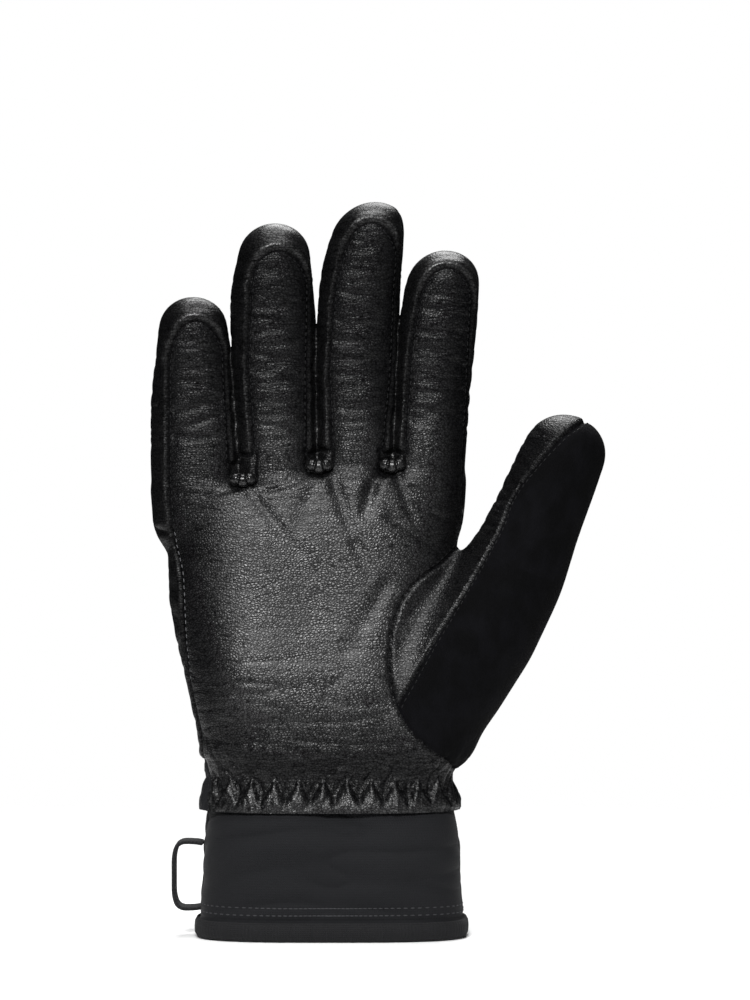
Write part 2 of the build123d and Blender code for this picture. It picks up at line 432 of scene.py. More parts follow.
def classify(points):
    """The kind of panel at each point, and its digit (-1 on the hand)."""
    x, y, z = points.T
    zone = zones(points)
    kind = np.full(len(points), SHELL)

    hand = zone < 0
    front = hand & (y < 0)
    line = side_line(points)
    kind[front & (line < 0)] = PALM
    left = hand & (x < -30) & ~(front & (line < 0))
    kind[left & (z > EDGE_END_Z) & (y < 4.5)] = WALL
    back = hand & ~front
    kind[back & (guard_line(points) > 0) & ((x < 36.0) | (z > 141))] = KNUCKLE
    right = hand & (x > 20)
    beyond = right & front & (x > thumb_seam(z)) & (z > 60)
    kind[beyond] = np.where(nose_line(points)[beyond] < 0, NOSE, THUMB)
    behind = right & back & (z > 62)
    kind[behind & (x > BACK_SEAM_X)] = NOSE
    web = right & (z > 120) & (nose_line(points) > 0) & (x > thumb_seam(z)) & (y < 14)
    kind[web & (z < 141)] = THUMB
    kind[right & (z >= 141) & ~(front & (line < 0)) & (x < 60) & (y < 5)] = WALL

    for k, finger in enumerate(FINGERS):
        here = zone == k
        p = points[here]
        v = finger.centred(p)[1]
        inside = (arch(finger.name, p) < 0) & (v < 0)
        kind[here] = np.where(inside, PALM, np.where(wall_back(finger, p) > 0, BACK, WALL))
    here = zone == len(FINGERS)
    kind[here] = np.where(nose_line(points[here]) < 0, NOSE, THUMB)
    return kind, zone


# ---------------------------------------------------------------- the skin's mesh


def sampled_field(field, voxel):
    low, high = np.array([-72.0, -40.0, 30.0]), np.array([106.0, 34.0, 272.0])
    counts = np.ceil((high - low) / voxel).astype(int)
    axes = [low[k] + voxel * np.arange(counts[k]) for k in range(3)]
    values = np.empty(counts, np.float32)
    grid_x, grid_y = np.meshgrid(axes[0], axes[1], indexing="ij")
    for k, z in enumerate(axes[2]):
        points = np.column_stack([grid_x.ravel(), grid_y.ravel(), np.full(grid_x.size, z)])
        values[:, :, k] = field(points).reshape(grid_x.shape)
    return values, low


def gradient(field, points, step=0.25):
    result = np.empty_like(points)
    for k in range(3):
        offset = np.zeros(3)
        offset[k] = step
        result[:, k] = (field(points + offset) - field(points - offset)) / (2 * step)
    return result


def surface_quads(field, voxel):
    values, low = sampled_field(field, voxel)
    grid = openvdb.FloatGrid(background=float(values.max()))
    grid.copyFromArray(values)
    points, quads = grid.convertToQuads(0.0)
    points = points.astype(float) * voxel + low
    for _ in range(2):
        slope = gradient(field, points)
        points -= slope * (field(points) / (slope**2).sum(axis=1))[:, None]
    return points, quads.astype(np.int64)


def unique_edges(faces):
    sides = np.concatenate([faces[:, [k, (k + 1) % faces.shape[1]]] for k in range(faces.shape[1])])
    return np.unique(np.sort(sides, axis=1), axis=0)


def snap(points, edges, line, where, snapped):
    """Moves points that are nearly on the line where line(points) is zero onto it."""
    value, near = line(points), where(points)
    a, b = edges.T
    crossing = (value[a] * value[b] < 0) & near[a] & near[b]
    a, b = a[crossing], b[crossing]
    t = value[a] / (value[a] - value[b])
    meets = points[a] + t[:, None] * (points[b] - points[a])
    mover = np.where(t < 0.5, a, b)
    total, count = np.zeros_like(points), np.zeros(len(points))
    np.add.at(total, mover, meets)
    np.add.at(count, mover, 1)
    moved = count > 0
    points[moved] = total[moved] / count[moved, None]
    snapped |= moved


def seam_cuts():
    """Each line that the skin is cut along, with the part of the skin that it holds for."""
    everywhere = lambda p: np.ones(len(p), bool)
    front_hand = lambda p: (zones(p) < 0) & (p[:, 1] < 2)
    cuts = []
    for k, digit in enumerate(DIGITS):
        split = THUMB_SPLIT if digit is THUMB_DIGIT else FINGER_SPLIT
        reach = lambda p, d=digit: d.field(p) < 2.5
        cuts.append((lambda p, d=digit, s=split: d.local(p)[2] - s, reach))
        cuts.append((lambda p, d=digit: d.local(p)[2] - middle_split(d), reach))
    for k, finger in enumerate(FINGERS):
        on_front = lambda p, d=finger, k=k: (zones(p) == k) & (d.centred(p)[1] < -0.5)
        cuts.append((lambda p, d=finger: arch(d.name, p), on_front))
        cuts.append((lambda p, d=finger: wall_back(d, p), lambda p, k=k: zones(p) == k))
    cuts.append((nose_line, lambda p: (p[:, 0] > 20) & (p[:, 2] > 84)))
    cuts.append((side_line, front_hand))
    cuts.append((guard_line, lambda p: (zones(p) < 0) & (p[:, 1] > 0)))
    cuts.append((lambda p: p[:, 0] - BACK_SEAM_X, lambda p: (zones(p) < 0) & (p[:, 1] > 0)))
    cuts.append((lambda p: p[:, 2] - LEATHER_END_Z, everywhere))
    return cuts


def middle_split(digit):
    """Where a digit's lower pieces end and its upper pieces start, between its two creases."""
    return digit.knee * 0.62


def cut_skin():
    points, quads = surface_quads(skin_field, VOXEL)
    snapped = np.zeros(len(points), bool)
    edges = unique_edges(quads)
    for line, where in seam_cuts():
        snap(points, edges, line, where, snapped)
    corners = points[quads]
    held = snapped[quads]
    first = np.linalg.norm(corners[:, 0] - corners[:, 2], axis=1)
    second = np.linalg.norm(corners[:, 1] - corners[:, 3], axis=1)
    first -= 100.0 * (held[:, 0] & held[:, 2])
    second -= 100.0 * (held[:, 1] & held[:, 3])
    one = np.where((first <= second)[:, None], quads[:, [0, 1, 2]], quads[:, [0, 1, 3]])
    two = np.where((first <= second)[:, None], quads[:, [0, 2, 3]], quads[:, [1, 2, 3]])
    triangles = np.concatenate([one, two])
    centres = points[triangles].mean(axis=1)
    triangles = triangles[centres[:, 2] > LEATHER_END_Z]
    return points, triangles


# ---------------------------------------------------------------- seams as lines


def seam_edges(points, triangles, kinds):
    """The edges between two kinds of panel, the kinds, and the direction into the first."""
    sides = np.concatenate([triangles[:, [0, 1]], triangles[:, [1, 2]], triangles[:, [2, 0]]])
    owner = np.tile(np.arange(len(triangles)), 3)
    sides = np.sort(sides, axis=1)
    order = np.lexsort((sides[:, 1], sides[:, 0]))
    sides, owner = sides[order], owner[order]
    same = (sides[1:] == sides[:-1]).all(axis=1)
    one, two, sides = owner[:-1][same], owner[1:][same], sides[:-1][same]
    differ = kinds[one] != kinds[two]
    one, two, sides = one[differ], two[differ], sides[differ]
    swap = kinds[one] > kinds[two]
    one, two = np.where(swap, two, one), np.where(swap, one, two)
    inward = points[triangles[one]].mean(axis=1) - points[sides].mean(axis=1)
    return sides, kinds[one], kinds[two], inward


class Seam:
    """A run of seam between two kinds of panel: the mesh's points along it, in order."""

    def __init__(self, pair, path, inward):
        self.pair, self.path, self.inward = pair, np.array(path), np.array(inward)

    def measure(self, points):
        self.places = smooth_line(points[self.path])
        steps = np.linalg.norm(np.diff(self.places, axis=0), axis=1)
        self.reach = np.concatenate([[0.0], np.cumsum(steps)])


def smooth_line(places):
    result = places.copy()
    for _ in range(2):
        result[1:-1] = (result[:-2] + 2 * result[1:-1] + result[2:]) / 4
    return result


def find_seams(points, triangles, kinds):
    sides, low, high, inward = seam_edges(points, triangles, kinds)
    ways = {}
    for k, (a, b) in enumerate(sides.tolist()):
        ways.setdefault(a, []).append((b, k))
        ways.setdefault(b, []).append((a, k))
    pairs = list(zip(low.tolist(), high.tolist()))
    used = set()
    seams = []
    ends = [point for point, out in ways.items() if len(out) != 2]
    for start in ends + list(ways):
        for step, k in ways[start]:
            if k in used:
                continue
            used.add(k)
            path, toward, at = [start, step], [inward[k], inward[k]], step
            while len(ways[at]) == 2:
                onward = [(b, j) for b, j in ways[at] if j not in used]
                if not onward:
                    break
                at, j = onward[0]
                used.add(j)
                path.append(at)
                toward.append(inward[j])
            seams.append(Seam(pairs[k], path, toward))
    for seam in seams:
        seam.measure(points)
    return [seam for seam in seams if seam.reach[-1] > 3.0]


def nearest_seam(points, seams, reach=7.0):
    """For each point: the distance to the nearest seam, the length along it, and its two kinds."""
    count = sum(len(seam.path) for seam in seams)
    tree = KDTree(count)
    along, pairs = [], []
    for seam in seams:
        for place, run in zip(seam.places, seam.reach):
            tree.insert(place, len(along))
            along.append(run)
            pairs.append(seam.pair)
    tree.balance()
    distance, run = np.full(len(points), reach), np.zeros(len(points))
    pair = np.full((len(points), 2), -1)
    for k, point in enumerate(points):
        _, index, d = tree.find(point)
        if d < reach:
            distance[k], run[k], pair[k] = d, along[index], pairs[index]
    return distance, run, pair


# ---------------------------------------------------------------- relief

# How each kind of panel is sewn: at a seam the higher one rolls over the lower one
RANK = np.array([0, 3, 4, 3, 1, 2, 0])
STITCH_PITCH = 2.5

# Creases on the palm: from X, Z to X, Z, then half-width and depth
PALM_CREASES = [
    (-61.0, 161.5, -45.0, 160.2, 1.1, 0.8),
    (-45.0, 160.2, -33.0, 162.8, 1.1, 0.9),
    (-60.0, 156.5, -44.0, 155.8, 1.0, 0.4),
    (-29.7, 161.5, -22.5, 161.8, 1.1, 0.9),
    (-22.5, 161.8, -9.0, 166.0, 1.1, 1.0),
    (20.0, 171.0, 15.0, 164.0, 2.2, 1.7),
    (15.0, 164.0, 12.0, 154.0, 2.4, 1.6),
    (1.0, 165.0, 9.0, 143.0, 2.6, 1.0),
    (9.0, 143.0, 14.0, 131.0, 2.6, 0.8),
    (-4.0, 168.0, -12.0, 150.0, 3.0, 0.6),
    (24.0, 167.0, 30.0, 150.0, 2.0, 0.8),
    (28.0, 163.0, 44.0, 158.0, 1.1, 0.6),
    (27.0, 158.0, 45.0, 150.0, 1.1, 0.6),
    (22.0, 152.0, 40.0, 140.0, 2.2, 0.7),
    (-29.0, 161.0, -12.0, 140.0, 2.2, 0.8),
    (20.0, 128.0, 6.0, 104.0, 3.2, 0.7),
]


# The channels' edges between their seams and the gathers: from X, Z to X, Z
CHANNEL_EDGES = [
    (-36.0, 172.0, -35.4, 164.5),
    (-27.6, 176.0, -28.2, 165.0),
    (-8.4, 176.0, -8.2, 169.5),
    (0.0, 177.0, -0.8, 169.5),
    (18.3, 177.0, 18.6, 169.5),
    (25.6, 176.0, 25.4, 169.5),
]


def rough(places, scale, seed):
    """Smooth noise from about -1 to 1, with its own scale along each axis."""
    moved = places * np.array(scale) + seed
    return np.array([noise.noise(p) for p in moved.tolist()])


def folds(places, scale, seed, sharpness=5.0):
    """Narrow creases between broad rounded ridges: 0 on a ridge, down to -1 in a crease."""
    return -((1.0 - np.clip(np.abs(rough(places, scale, seed)) * 1.4, 0.0, 1.0)) ** sharpness)


def from_segment(x, z, x0, z0, x1, z1):
    """The distance from a line from one place to another, and the share of the way along it."""
    dx, dz = x1 - x0, z1 - z0
    t = np.clip(((x - x0) * dx + (z - z0) * dz) / (dx * dx + dz * dz), 0.0, 1.0)
    return np.hypot(x - x0 - t * dx, z - z0 - t * dz), t


def seam_relief(kind, distance, run, pair, fullness):
    """The groove along each seam, with the upper leather rolled over it, most where it is full."""
    other = np.where(pair[:, 0] == kind, pair[:, 1], pair[:, 0])
    near = pair[:, 0] >= 0
    higher = near & (RANK[kind] > RANK[other])
    lower = near & (RANK[kind] < RANK[other])
    groove = -1.0 * bump(distance, 0.75)
    flat = np.where((kind == THUMB) | (other == NOSE), 0.35, 1.0)
    roll = (0.28 * flat + 0.7 * fullness) * bump(distance - 2.4, 1.9)
    sunk = -0.45 * bump(distance, 2.4)
    pucker = np.cos(FULL_TURN * run / STITCH_PITCH) * bump(distance - 1.3, 0.9)
    joined = (np.minimum(kind, other) == WALL) & (np.maximum(kind, other) == THUMB)
    near &= ~joined
    higher, lower = higher & ~joined, lower & ~joined
    relief = np.where(near, groove, 0.0)
    relief += np.where(higher, roll - 0.04 * pucker, 0.0)
    relief += np.where(lower, sunk + 0.06 * pucker, 0.0)
    return relief


def digit_relief(points, digit):
    """Transverse wrinkles round a digit, strongest on its palm side and over its creases."""
    u, v, s = digit.centred(points)
    places = np.column_stack([u, v, s])
    front = smoothstep(4.0, -8.0, v)
    bend = 0.55 + 0.45 * (bump(s - digit.knee, 9.0) + bump(s - 2.0, 10.0))
    body = smoothstep(digit.tip - 4.0, digit.tip - 16.0, s)
    seed = digit.tip
    wide = folds(places, (0.022, 0.04, 0.14), seed)
    fine = folds(places, (0.035, 0.06, 0.3), seed + 9.0, 3.5)
    return (0.9 * wide * bend + 0.4 * fine) * (0.25 + 0.75 * front) * body


def palm_relief(points):
    x, y, z = points.T
    front = smoothstep(2.0, -8.0, y)
    deep = np.zeros(len(points))
    for x0, z0, x1, z1, width, depth in PALM_CREASES:
        distance, share = from_segment(x, z, x0, z0, x1, z1)
        deep = np.maximum(deep, depth * (1.0 - 0.6 * share) * bump(distance, width))
    for line in CHANNEL_EDGES:
        deep = np.maximum(deep, 0.9 * bump(from_segment(x, z, *line)[0], 0.8))
    hollow = -1.6 * bump((x + 6.0) / 26.0, 1.0) * bump((z - 118.0) / 26.0, 1.0)
    heel = 1.4 * bump((x + 34.0) / 16.0, 1.0) * bump((z - 92.0) / 18.0, 1.0)
    low = smoothstep(120.0, 88.0, z)
    lines = 0.35 * low * folds(points, (0.03, 0.04, 0.14), 3.0)
    lines += 0.07 * folds(points, (0.09, 0.1, 0.22), 31.0, 3.5)
    return (hollow + heel + lines - deep) * front


GATHERED_BELOW = 90.0  # Z where the wrist's gathers have died away


def gather_relief(points):
    """The leather that the zigzag stitching gathers on the elastic round the wrist."""
    z = points[:, 2]
    above = above_zigzag(points)
    puffed = smoothstep(0.3, -2.2, above)
    crumpled = 0.7 * folds(points, (0.4, 0.4, 0.14), 53.0, 1.8)
    pulled = 0.55 * folds(points, (0.3, 0.3, 0.035), 57.0, 2.5) * bump(z - 64.0, 9.0)
    waist = 0.9 * bump(z - 67.5, 5.0) - 0.9 * bump(z - GATHER_Z - 1.0, 3.6) + 0.5 * bump(z - 49.0, 3.0)
    groove = -0.8 * bump(above, 0.8)
    gathers = puffed * (1.1 + crumpled) + (1.0 - puffed) * pulled
    return gathers + groove + waist - 1.2 * drawn_creases(points)


def guard_relief(points):
    """Padded ribs across the knuckle guard, and the soft swell of the shell below it."""
    x, y, z = points.T
    ribs = 0.9 * np.abs(np.sin((z - GUARD_Z - 4.0) * math.pi / 11.0)) - 0.3
    inside = smoothstep(0.0, 6.0, guard_line(points)) * smoothstep(172.0, 165.0, z)
    return ribs * inside * smoothstep(0.0, 8.0, y) * smoothstep(52.0, 40.0, np.abs(x + 8.0))


def arch_fullness(points, zone):
    """1 round the arched end of each finger's front panel, 0 along its sides and on the hand."""
    fullness = np.zeros(len(points))
    for k, finger in enumerate(FINGERS):
        here = zone == k
        _, start, _ = FRONT_PANELS[finger.name]
        fullness[here] = smoothstep(start - 6.0, start + 6.0, points[here, 2])
    return fullness


def relief(points, kind, zone, distance, run, pair):
    """How far each point of the skin is raised along its normal."""
    height = seam_relief(kind, distance, run, pair, arch_fullness(points, zone))
    soft = smoothstep(0.4, 3.0, distance)
    lowest = np.full(len(points), 1.0)
    for k, digit in enumerate(DIGITS):
        here = zone == k
        split = THUMB_SPLIT if digit is THUMB_DIGIT else FINGER_SPLIT
        fade = smoothstep(split, split + 12.0, digit.local(points[here])[2])
        lowest[here] = 1.0 - fade
        share = np.where(kind[here] == NOSE, 0.3, 1.0) * (0.6 if digit is THUMB_DIGIT else 1.0)
        height[here] += digit_relief(points[here], digit) * soft[here] * fade * share
    facing = np.isin(kind, (PALM, THUMB))
    height += palm_relief(points) * facing * (0.3 + 0.7 * soft) * lowest
    hand = zone < 0
    p = points[hand]
    height[hand] += np.where(p[:, 2] < GATHERED_BELOW, gather_relief(p), 0.0)
    side = (kind[hand] == WALL) & (p[:, 0] < 0)
    across = 0.8 * bump(p[:, 2] - SIDE_FOLD_Z - 0.1 * (p[:, 1] + 10.0), 1.3)
    loose = 0.5 * folds(p, (0.05, 0.05, 0.16), 61.0, 2.5)
    loose *= smoothstep(SIDE_FOLD_Z, SIDE_FOLD_Z - 12.0, p[:, 2])
    height[hand] += np.where(side, loose * soft[hand] - across, 0.0)
    shell = kind[hand] == SHELL
    billow = 0.9 * rough(p, (0.06, 0.06, 0.05), 17.0) + 0.5 * folds(p, (0.03, 0.03, 0.07), 23.0, 3.0)
    height[hand] += np.where(shell, (billow + 0.9) * smoothstep(0.5, 6.0, distance[hand]), 0.0)
    height[hand] += np.where(kind[hand] == KNUCKLE, guard_relief(p), 0.0)
    pressed = np.max([bump(past_divider(points, k), 2.4) for k in range(len(DIVIDERS))], axis=0)
    pressed *= ((zone >= 0) & (zone < len(FINGERS))) * smoothstep(-10.0, -5.0, points[:, 1])
    return height * (1.0 - 0.9 * pressed)


def normals_of(points, triangles):
    corners = points[triangles]
    faces = np.cross(corners[:, 1] - corners[:, 0], corners[:, 2] - corners[:, 0])
    total = np.zeros_like(points)
    for k in range(3):
        np.add.at(total, triangles[:, k], faces)
    return total / np.maximum(np.linalg.norm(total, axis=1), 1e-9)[:, None]


# ---------------------------------------------------------------- pieces


def new_piece(name, points, faces, material, normals=None, grain=None, marks=None):
    """A smooth mesh object from points in millimetres and faces, or a list of faces arrays.

    Marks are named numbers for each point, for the material to use.
    """
    faces = faces if isinstance(faces, list) else [faces]
    mesh = bpy.data.meshes.new(name)
    mesh.vertices.add(len(points))
    mesh.vertices.foreach_set("co", (points * MM).astype(np.float32).ravel())
    sizes = np.concatenate([np.full(len(f), f.shape[1]) for f in faces])
    corners = np.concatenate([f.ravel() for f in faces])
    mesh.loops.add(len(corners))
    mesh.loops.foreach_set("vertex_index", corners.astype(np.int32))
    mesh.polygons.add(len(sizes))
    mesh.polygons.foreach_set("loop_start", (np.cumsum(sizes) - sizes).astype(np.int32))
    mesh.update(calc_edges=True)
    mesh.validate()
    mesh.polygons.foreach_set("use_smooth", np.ones(len(mesh.polygons), bool))
    grain = points if grain is None else grain
    attribute = mesh.attributes.new("grain", "FLOAT_VECTOR", "POINT")
    attribute.data.foreach_set("vector", grain.astype(np.float32).ravel())
    for title, values in (marks or {}).items():
        attribute = mesh.attributes.new(title, "FLOAT", "POINT")
        attribute.data.foreach_set("value", values.astype(np.float32))
    if normals is not None:
        mesh.normals_split_custom_set_from_vertices(normals.tolist())
    mesh.materials.append(material)
    piece = bpy.data.objects.new(name, mesh)
    bpy.context.scene.collection.objects.link(piece)
    return piece


def open_edges(triangles):
    """The directed edges that only one triangle has."""
    sides = np.concatenate([triangles[:, [0, 1]], triangles[:, [1, 2]], triangles[:, [2, 0]]])
    key = np.sort(sides, axis=1)
    _, first, counts = np.unique(key, axis=0, return_index=True, return_counts=True)
    return sides[first[counts == 1]]


HEM = 1.6


def panel_piece(name, points, normals, grain, marks, triangles, material):
    """A panel cut from the skin, with its edges turned in."""
    used, flat = np.unique(triangles, return_inverse=True)
    triangles = flat.reshape(triangles.shape)
    p, n, g = points[used], normals[used], grain[used]
    rim = open_edges(triangles)
    border, index = np.unique(rim, return_inverse=True)
    index = index.reshape(rim.shape) + len(p)
    hem = np.column_stack([rim[:, 1], rim[:, 0], index[:, 0], index[:, 1]])
    p = np.concatenate([p, p[border] - n[border] * HEM])
    n = np.concatenate([n, n[border]])
    g = np.concatenate([g, g[border]])
    m = {title: np.concatenate([values[used], values[used][border]]) for title, values in marks.items()}
    return new_piece(name, p, [triangles, hem], material, n, g, m)


# ---------------------------------------------------------------- finishes


class Finish:
    """A procedural material. Its patterns are laid out in millimetres along the piece's grain."""

    def __init__(self, name, colour, roughness, **inputs):
        self.material = bpy.data.materials.new(name)
        self.material.use_nodes = True
        self.tree = self.material.node_tree
        self.shader = self.tree.nodes["Principled BSDF"]
        self.colour = (*colour, 1.0)
        self.join(self.colour, self.shader.inputs["Base Color"])
        self.join(roughness, self.shader.inputs["Roughness"])
        for title, value in inputs.items():
            self.join(value, self.shader.inputs[title.replace("_", " ")])
        self.grain = self.add("ShaderNodeAttribute", attribute_name="grain").outputs["Vector"]

    def add(self, kind, **settings):
        node = self.tree.nodes.new(kind)
        for key, value in settings.items():
            setattr(node, key, value)
        return node

    def join(self, value, socket):
        if isinstance(value, bpy.types.NodeSocket):
            self.tree.links.new(value, socket)
        else:
            socket.default_value = value

    def math(self, operation, a, b=0.0):
        node = self.add("ShaderNodeMath", operation=operation)
        self.join(a, node.inputs[0])
        self.join(b, node.inputs[1])
        return node.outputs[0]

    def times(self, value, factor):
        return self.math("MULTIPLY", value, factor)

    def total(self, *values):
        result = values[0]
        for value in values[1:]:
            result = self.math("ADD", result, value)
        return result

    def along(self, per_mm):
        node = self.add("ShaderNodeVectorMath", operation="MULTIPLY")
        self.join(self.grain, node.inputs[0])
        self.join(per_mm, node.inputs[1])
        return node.outputs[0]

    def noise(self, per_mm, detail=2.0):
        node = self.add("ShaderNodeTexNoise")
        self.join(self.along(per_mm), node.inputs["Vector"])
        self.join(1.0, node.inputs["Scale"])
        self.join(detail, node.inputs["Detail"])
        return node.outputs["Fac"]

    def cells(self, per_mm):
        """Distance from the edge of a cell."""
        node = self.add("ShaderNodeTexVoronoi", feature="DISTANCE_TO_EDGE")
        self.join(self.along(per_mm), node.inputs["Vector"])
        self.join(1.0, node.inputs["Scale"])
        return node.outputs["Distance"]

    def creases(self, per_mm, sharpness=3.0):
        """1 along winding lines, falling quickly to 0 beside them."""
        off = self.math("ABSOLUTE", self.times(self.math("SUBTRACT", self.noise(per_mm), 0.5), 4.0))
        return self.math("POWER", self.math("SUBTRACT", 1.0, self.math("MINIMUM", off, 1.0)), sharpness)

    def waves(self, axis, pitch):
        """A ripple along one axis of the grain, from 0 to 1."""
        parts = self.add("ShaderNodeSeparateXYZ")
        self.join(self.grain, parts.inputs[0])
        turned = self.math("SINE", self.times(parts.outputs[axis], FULL_TURN / pitch))
        return self.math("ADD", self.times(turned, 0.5), 0.5)

    def ranged(self, value, low, high, to_low=0.0, to_high=1.0):
        node = self.add("ShaderNodeMapRange", interpolation_type="SMOOTHSTEP")
        for socket, number in zip(range(5), (value, low, high, to_low, to_high)):
            self.join(number, node.inputs[socket])
        return node.outputs[0]

    def raised(self, height):
        """Relief in millimetres."""
        node = self.add("ShaderNodeBump")
        self.join(1.0, node.inputs["Strength"])
        self.join(MM, node.inputs["Distance"])
        self.join(height, node.inputs["Height"])
        self.join(node.outputs[0], self.shader.inputs["Normal"])

    def rough(self, value):
        self.join(value, self.shader.inputs["Roughness"])

    def shaded(self, amount, other):
        """Mixes the colour towards another."""
        node = self.add("ShaderNodeMix", data_type="RGBA")
        self.join(amount, node.inputs[0])
        self.join(self.colour, node.inputs[6])
        self.join((*other, 1.0), node.inputs[7])
        self.join(node.outputs[2], self.shader.inputs["Base Color"])


def leather(name, colour, roughness, pebble=0.075, wrinkle=0.07, shine=0.5):
    """Fine-grained leather: small pebbles with painted shade in the valleys round them, and wrinkles.
    Its shine carries painted shade along seams, wrinkle lines, the palm's edges and the wrist, and a
    painted highlight on the rolls round the fingertips.
    """
    finish = Finish(name, colour, roughness)
    cells = finish.cells((0.9, 0.9, 1.1))
    pebbles = finish.ranged(cells, 0.0, 0.45)
    # Painted shade: the valleys round the pebbles get less shine and a darker colour below.
    valley_shade = finish.ranged(cells, 0.0, 0.16, 1.0, 0.0)
    # This mark wrinkles the leather and also dulls its shine as painted shade.
    worn_and_shaded = finish.add("ShaderNodeAttribute", attribute_name="worn_and_shaded").outputs["Fac"]
    wrinkled = finish.total(0.35, finish.times(worn_and_shaded, 0.65))
    wrinkles = finish.times(finish.creases((0.07, 0.1, 0.5), 7.0), wrinkled)
    fine = finish.times(finish.creases((0.12, 0.16, 0.85), 4.0), worn_and_shaded)
    lines = finish.math("MAXIMUM", wrinkles, finish.times(fine, 0.85))
    finish.raised(finish.total(
        finish.times(pebbles, pebble),
        finish.times(finish.noise((1.9, 1.9, 1.9), 2.0), pebble * 0.35),
        finish.times(wrinkles, -wrinkle),
        finish.times(fine, -0.7 * wrinkle),
    ))
    blotches = finish.noise((0.09, 0.09, 0.09), 3.0)
    finish.rough(finish.ranged(blotches, 0.3, 0.7, roughness - 0.03, roughness + 0.05))
    # Painted shade: the shine drops along the wrinkle lines.
    crease_shaded_shine = finish.math("SUBTRACT", 1.0, finish.times(lines, 0.9))
    # Painted shade: the seam mark takes most of the shine off along every seam and in the wrist's drawn
    # creases.
    seam = finish.add("ShaderNodeAttribute", attribute_name="seam").outputs["Fac"]
    # Painted highlight: the polish mark raises the shine on the rolled leather round the fingertips'
    # arches, besides the smoother stretched leather there.
    polish_and_highlight = finish.add("ShaderNodeAttribute", attribute_name="polish_and_highlight").outputs["Fac"]
    painted_shade = finish.math("MAXIMUM", finish.times(worn_and_shaded, 0.5), finish.times(seam, 0.96))
    painted_light = finish.total(finish.math("SUBTRACT", 1.0, painted_shade), finish.times(polish_and_highlight, 0.9))
    # painted shade: less shine in the grain's valleys
    raised = finish.math("SUBTRACT", 1.0, finish.times(valley_shade, 0.78))
    lit = finish.times(raised, finish.times(crease_shaded_shine, painted_light))
    finish.join(finish.times(lit, shine), finish.shader.inputs["Specular IOR Level"])
    # painted shade: a darker colour in the grain's valleys
    finish.shaded(valley_shade, tuple(c * 0.3 for c in colour))
    return finish.material


def suede(name, colour, tint):
    """A brushed, matte nap with soft darker strokes."""
    finish = Finish(name, colour, 0.9, Specular_IOR_Level=0.06, Sheen_Weight=0.02, Sheen_Roughness=0.5)
    finish.join((*tint, 1.0), finish.shader.inputs["Sheen Tint"])
    nap = finish.noise((3.4, 3.4, 1.8), 4.0)
    uneven = finish.times(finish.noise((0.5, 0.5, 0.3), 3.0), 0.25)
    finish.raised(finish.total(finish.times(nap, 0.14), uneven))
    finish.shaded(finish.ranged(finish.noise((0.14, 0.14, 0.09), 3.0), 0.35, 0.7), tint)
    return finish.material


def woven(name, colour, across=0.8, up=0.8, depth=0.08, roughness=0.8):
    """A weave of threads, with its pitches round and up the piece in millimetres."""
    finish = Finish(name, colour, roughness, Specular_IOR_Level=0.12, Sheen_Weight=0.03)
    threads = finish.times(finish.waves(0, across), finish.waves(2, up))
    fuzz = finish.noise((4.0, 4.0, 4.0), 2.0)
    finish.raised(finish.total(finish.times(threads, depth), finish.times(fuzz, depth * 0.5)))
    finish.shaded(finish.times(threads, 0.6), tuple(c * 0.5 for c in colour))
    return finish.material


def fleece(name, colour):
    """A soft pile of small curls."""
    finish = Finish(name, colour, 0.95, Specular_IOR_Level=0.1, Sheen_Weight=0.4, Sheen_Roughness=0.6)
    curls = finish.noise((0.9, 0.9, 0.9), 5.0)
    finish.raised(finish.times(curls, 0.9))
    finish.shaded(finish.ranged(curls, 0.4, 0.65), tuple(c * 0.45 for c in colour))
    return finish.material


LEATHER = leather("leather", (0.0035, 0.0035, 0.0038), 0.38)
WALL_LEATHER = leather("wall_leather", (0.003, 0.003, 0.0032), 0.4, 0.03, 0.05)
ROLLED_LEATHER = leather("rolled_leather", (0.003, 0.003, 0.0032), 0.3, 0.02, 0.02, 0.6)
SUEDE = suede("thumb_suede", (0.0008, 0.0008, 0.001), (0.0018, 0.0018, 0.0024))
SHELL_CLOTH = woven("softshell", (0.006, 0.0062, 0.0072), 0.9, 0.9, 0.08)
BINDING = woven("binding", (0.008, 0.008, 0.0088), 1.1, 0.7, 0.12)
FLEECE = fleece("liner", (0.05, 0.05, 0.054))
ELASTIC = woven("elastic", (0.03, 0.03, 0.032), 1.6, 0.6, 0.15)
WEBBING = woven("webbing", (0.014, 0.014, 0.015), 1.4, 1.0, 0.2, 0.7)
HOOK = woven("hook_tape", (0.012, 0.012, 0.013), 1.3, 1.3, 0.4, 0.5)
LOOP = fleece("loop_tape", (0.02, 0.02, 0.022))
RUBBER = Finish("tab", (0.008, 0.008, 0.009), 0.5, Specular_IOR_Level=0.45)
RUBBER.raised(RUBBER.times(RUBBER.noise((2.0, 2.0, 2.0), 3.0), 0.05))
RUBBER = RUBBER.material
THREAD = woven("thread", (0.006, 0.006, 0.0065), 0.35, 0.35, 0.05, 0.55)
STRAP_THREAD = woven("strap_thread", (0.035, 0.035, 0.038), 0.35, 0.35, 0.05, 0.6)
# Painted highlight: a pale thread for the lit stretch of the palm's side seam.
HIGHLIGHT_THREAD = woven("side_thread_highlight", (0.09, 0.09, 0.095), 0.35, 0.35, 0.05, 0.6)


# ---------------------------------------------------------------- camera and light


def look_from(place, target):
    return (Vector(target) - Vector(place)).to_track_quat("-Z", "Y").to_euler()


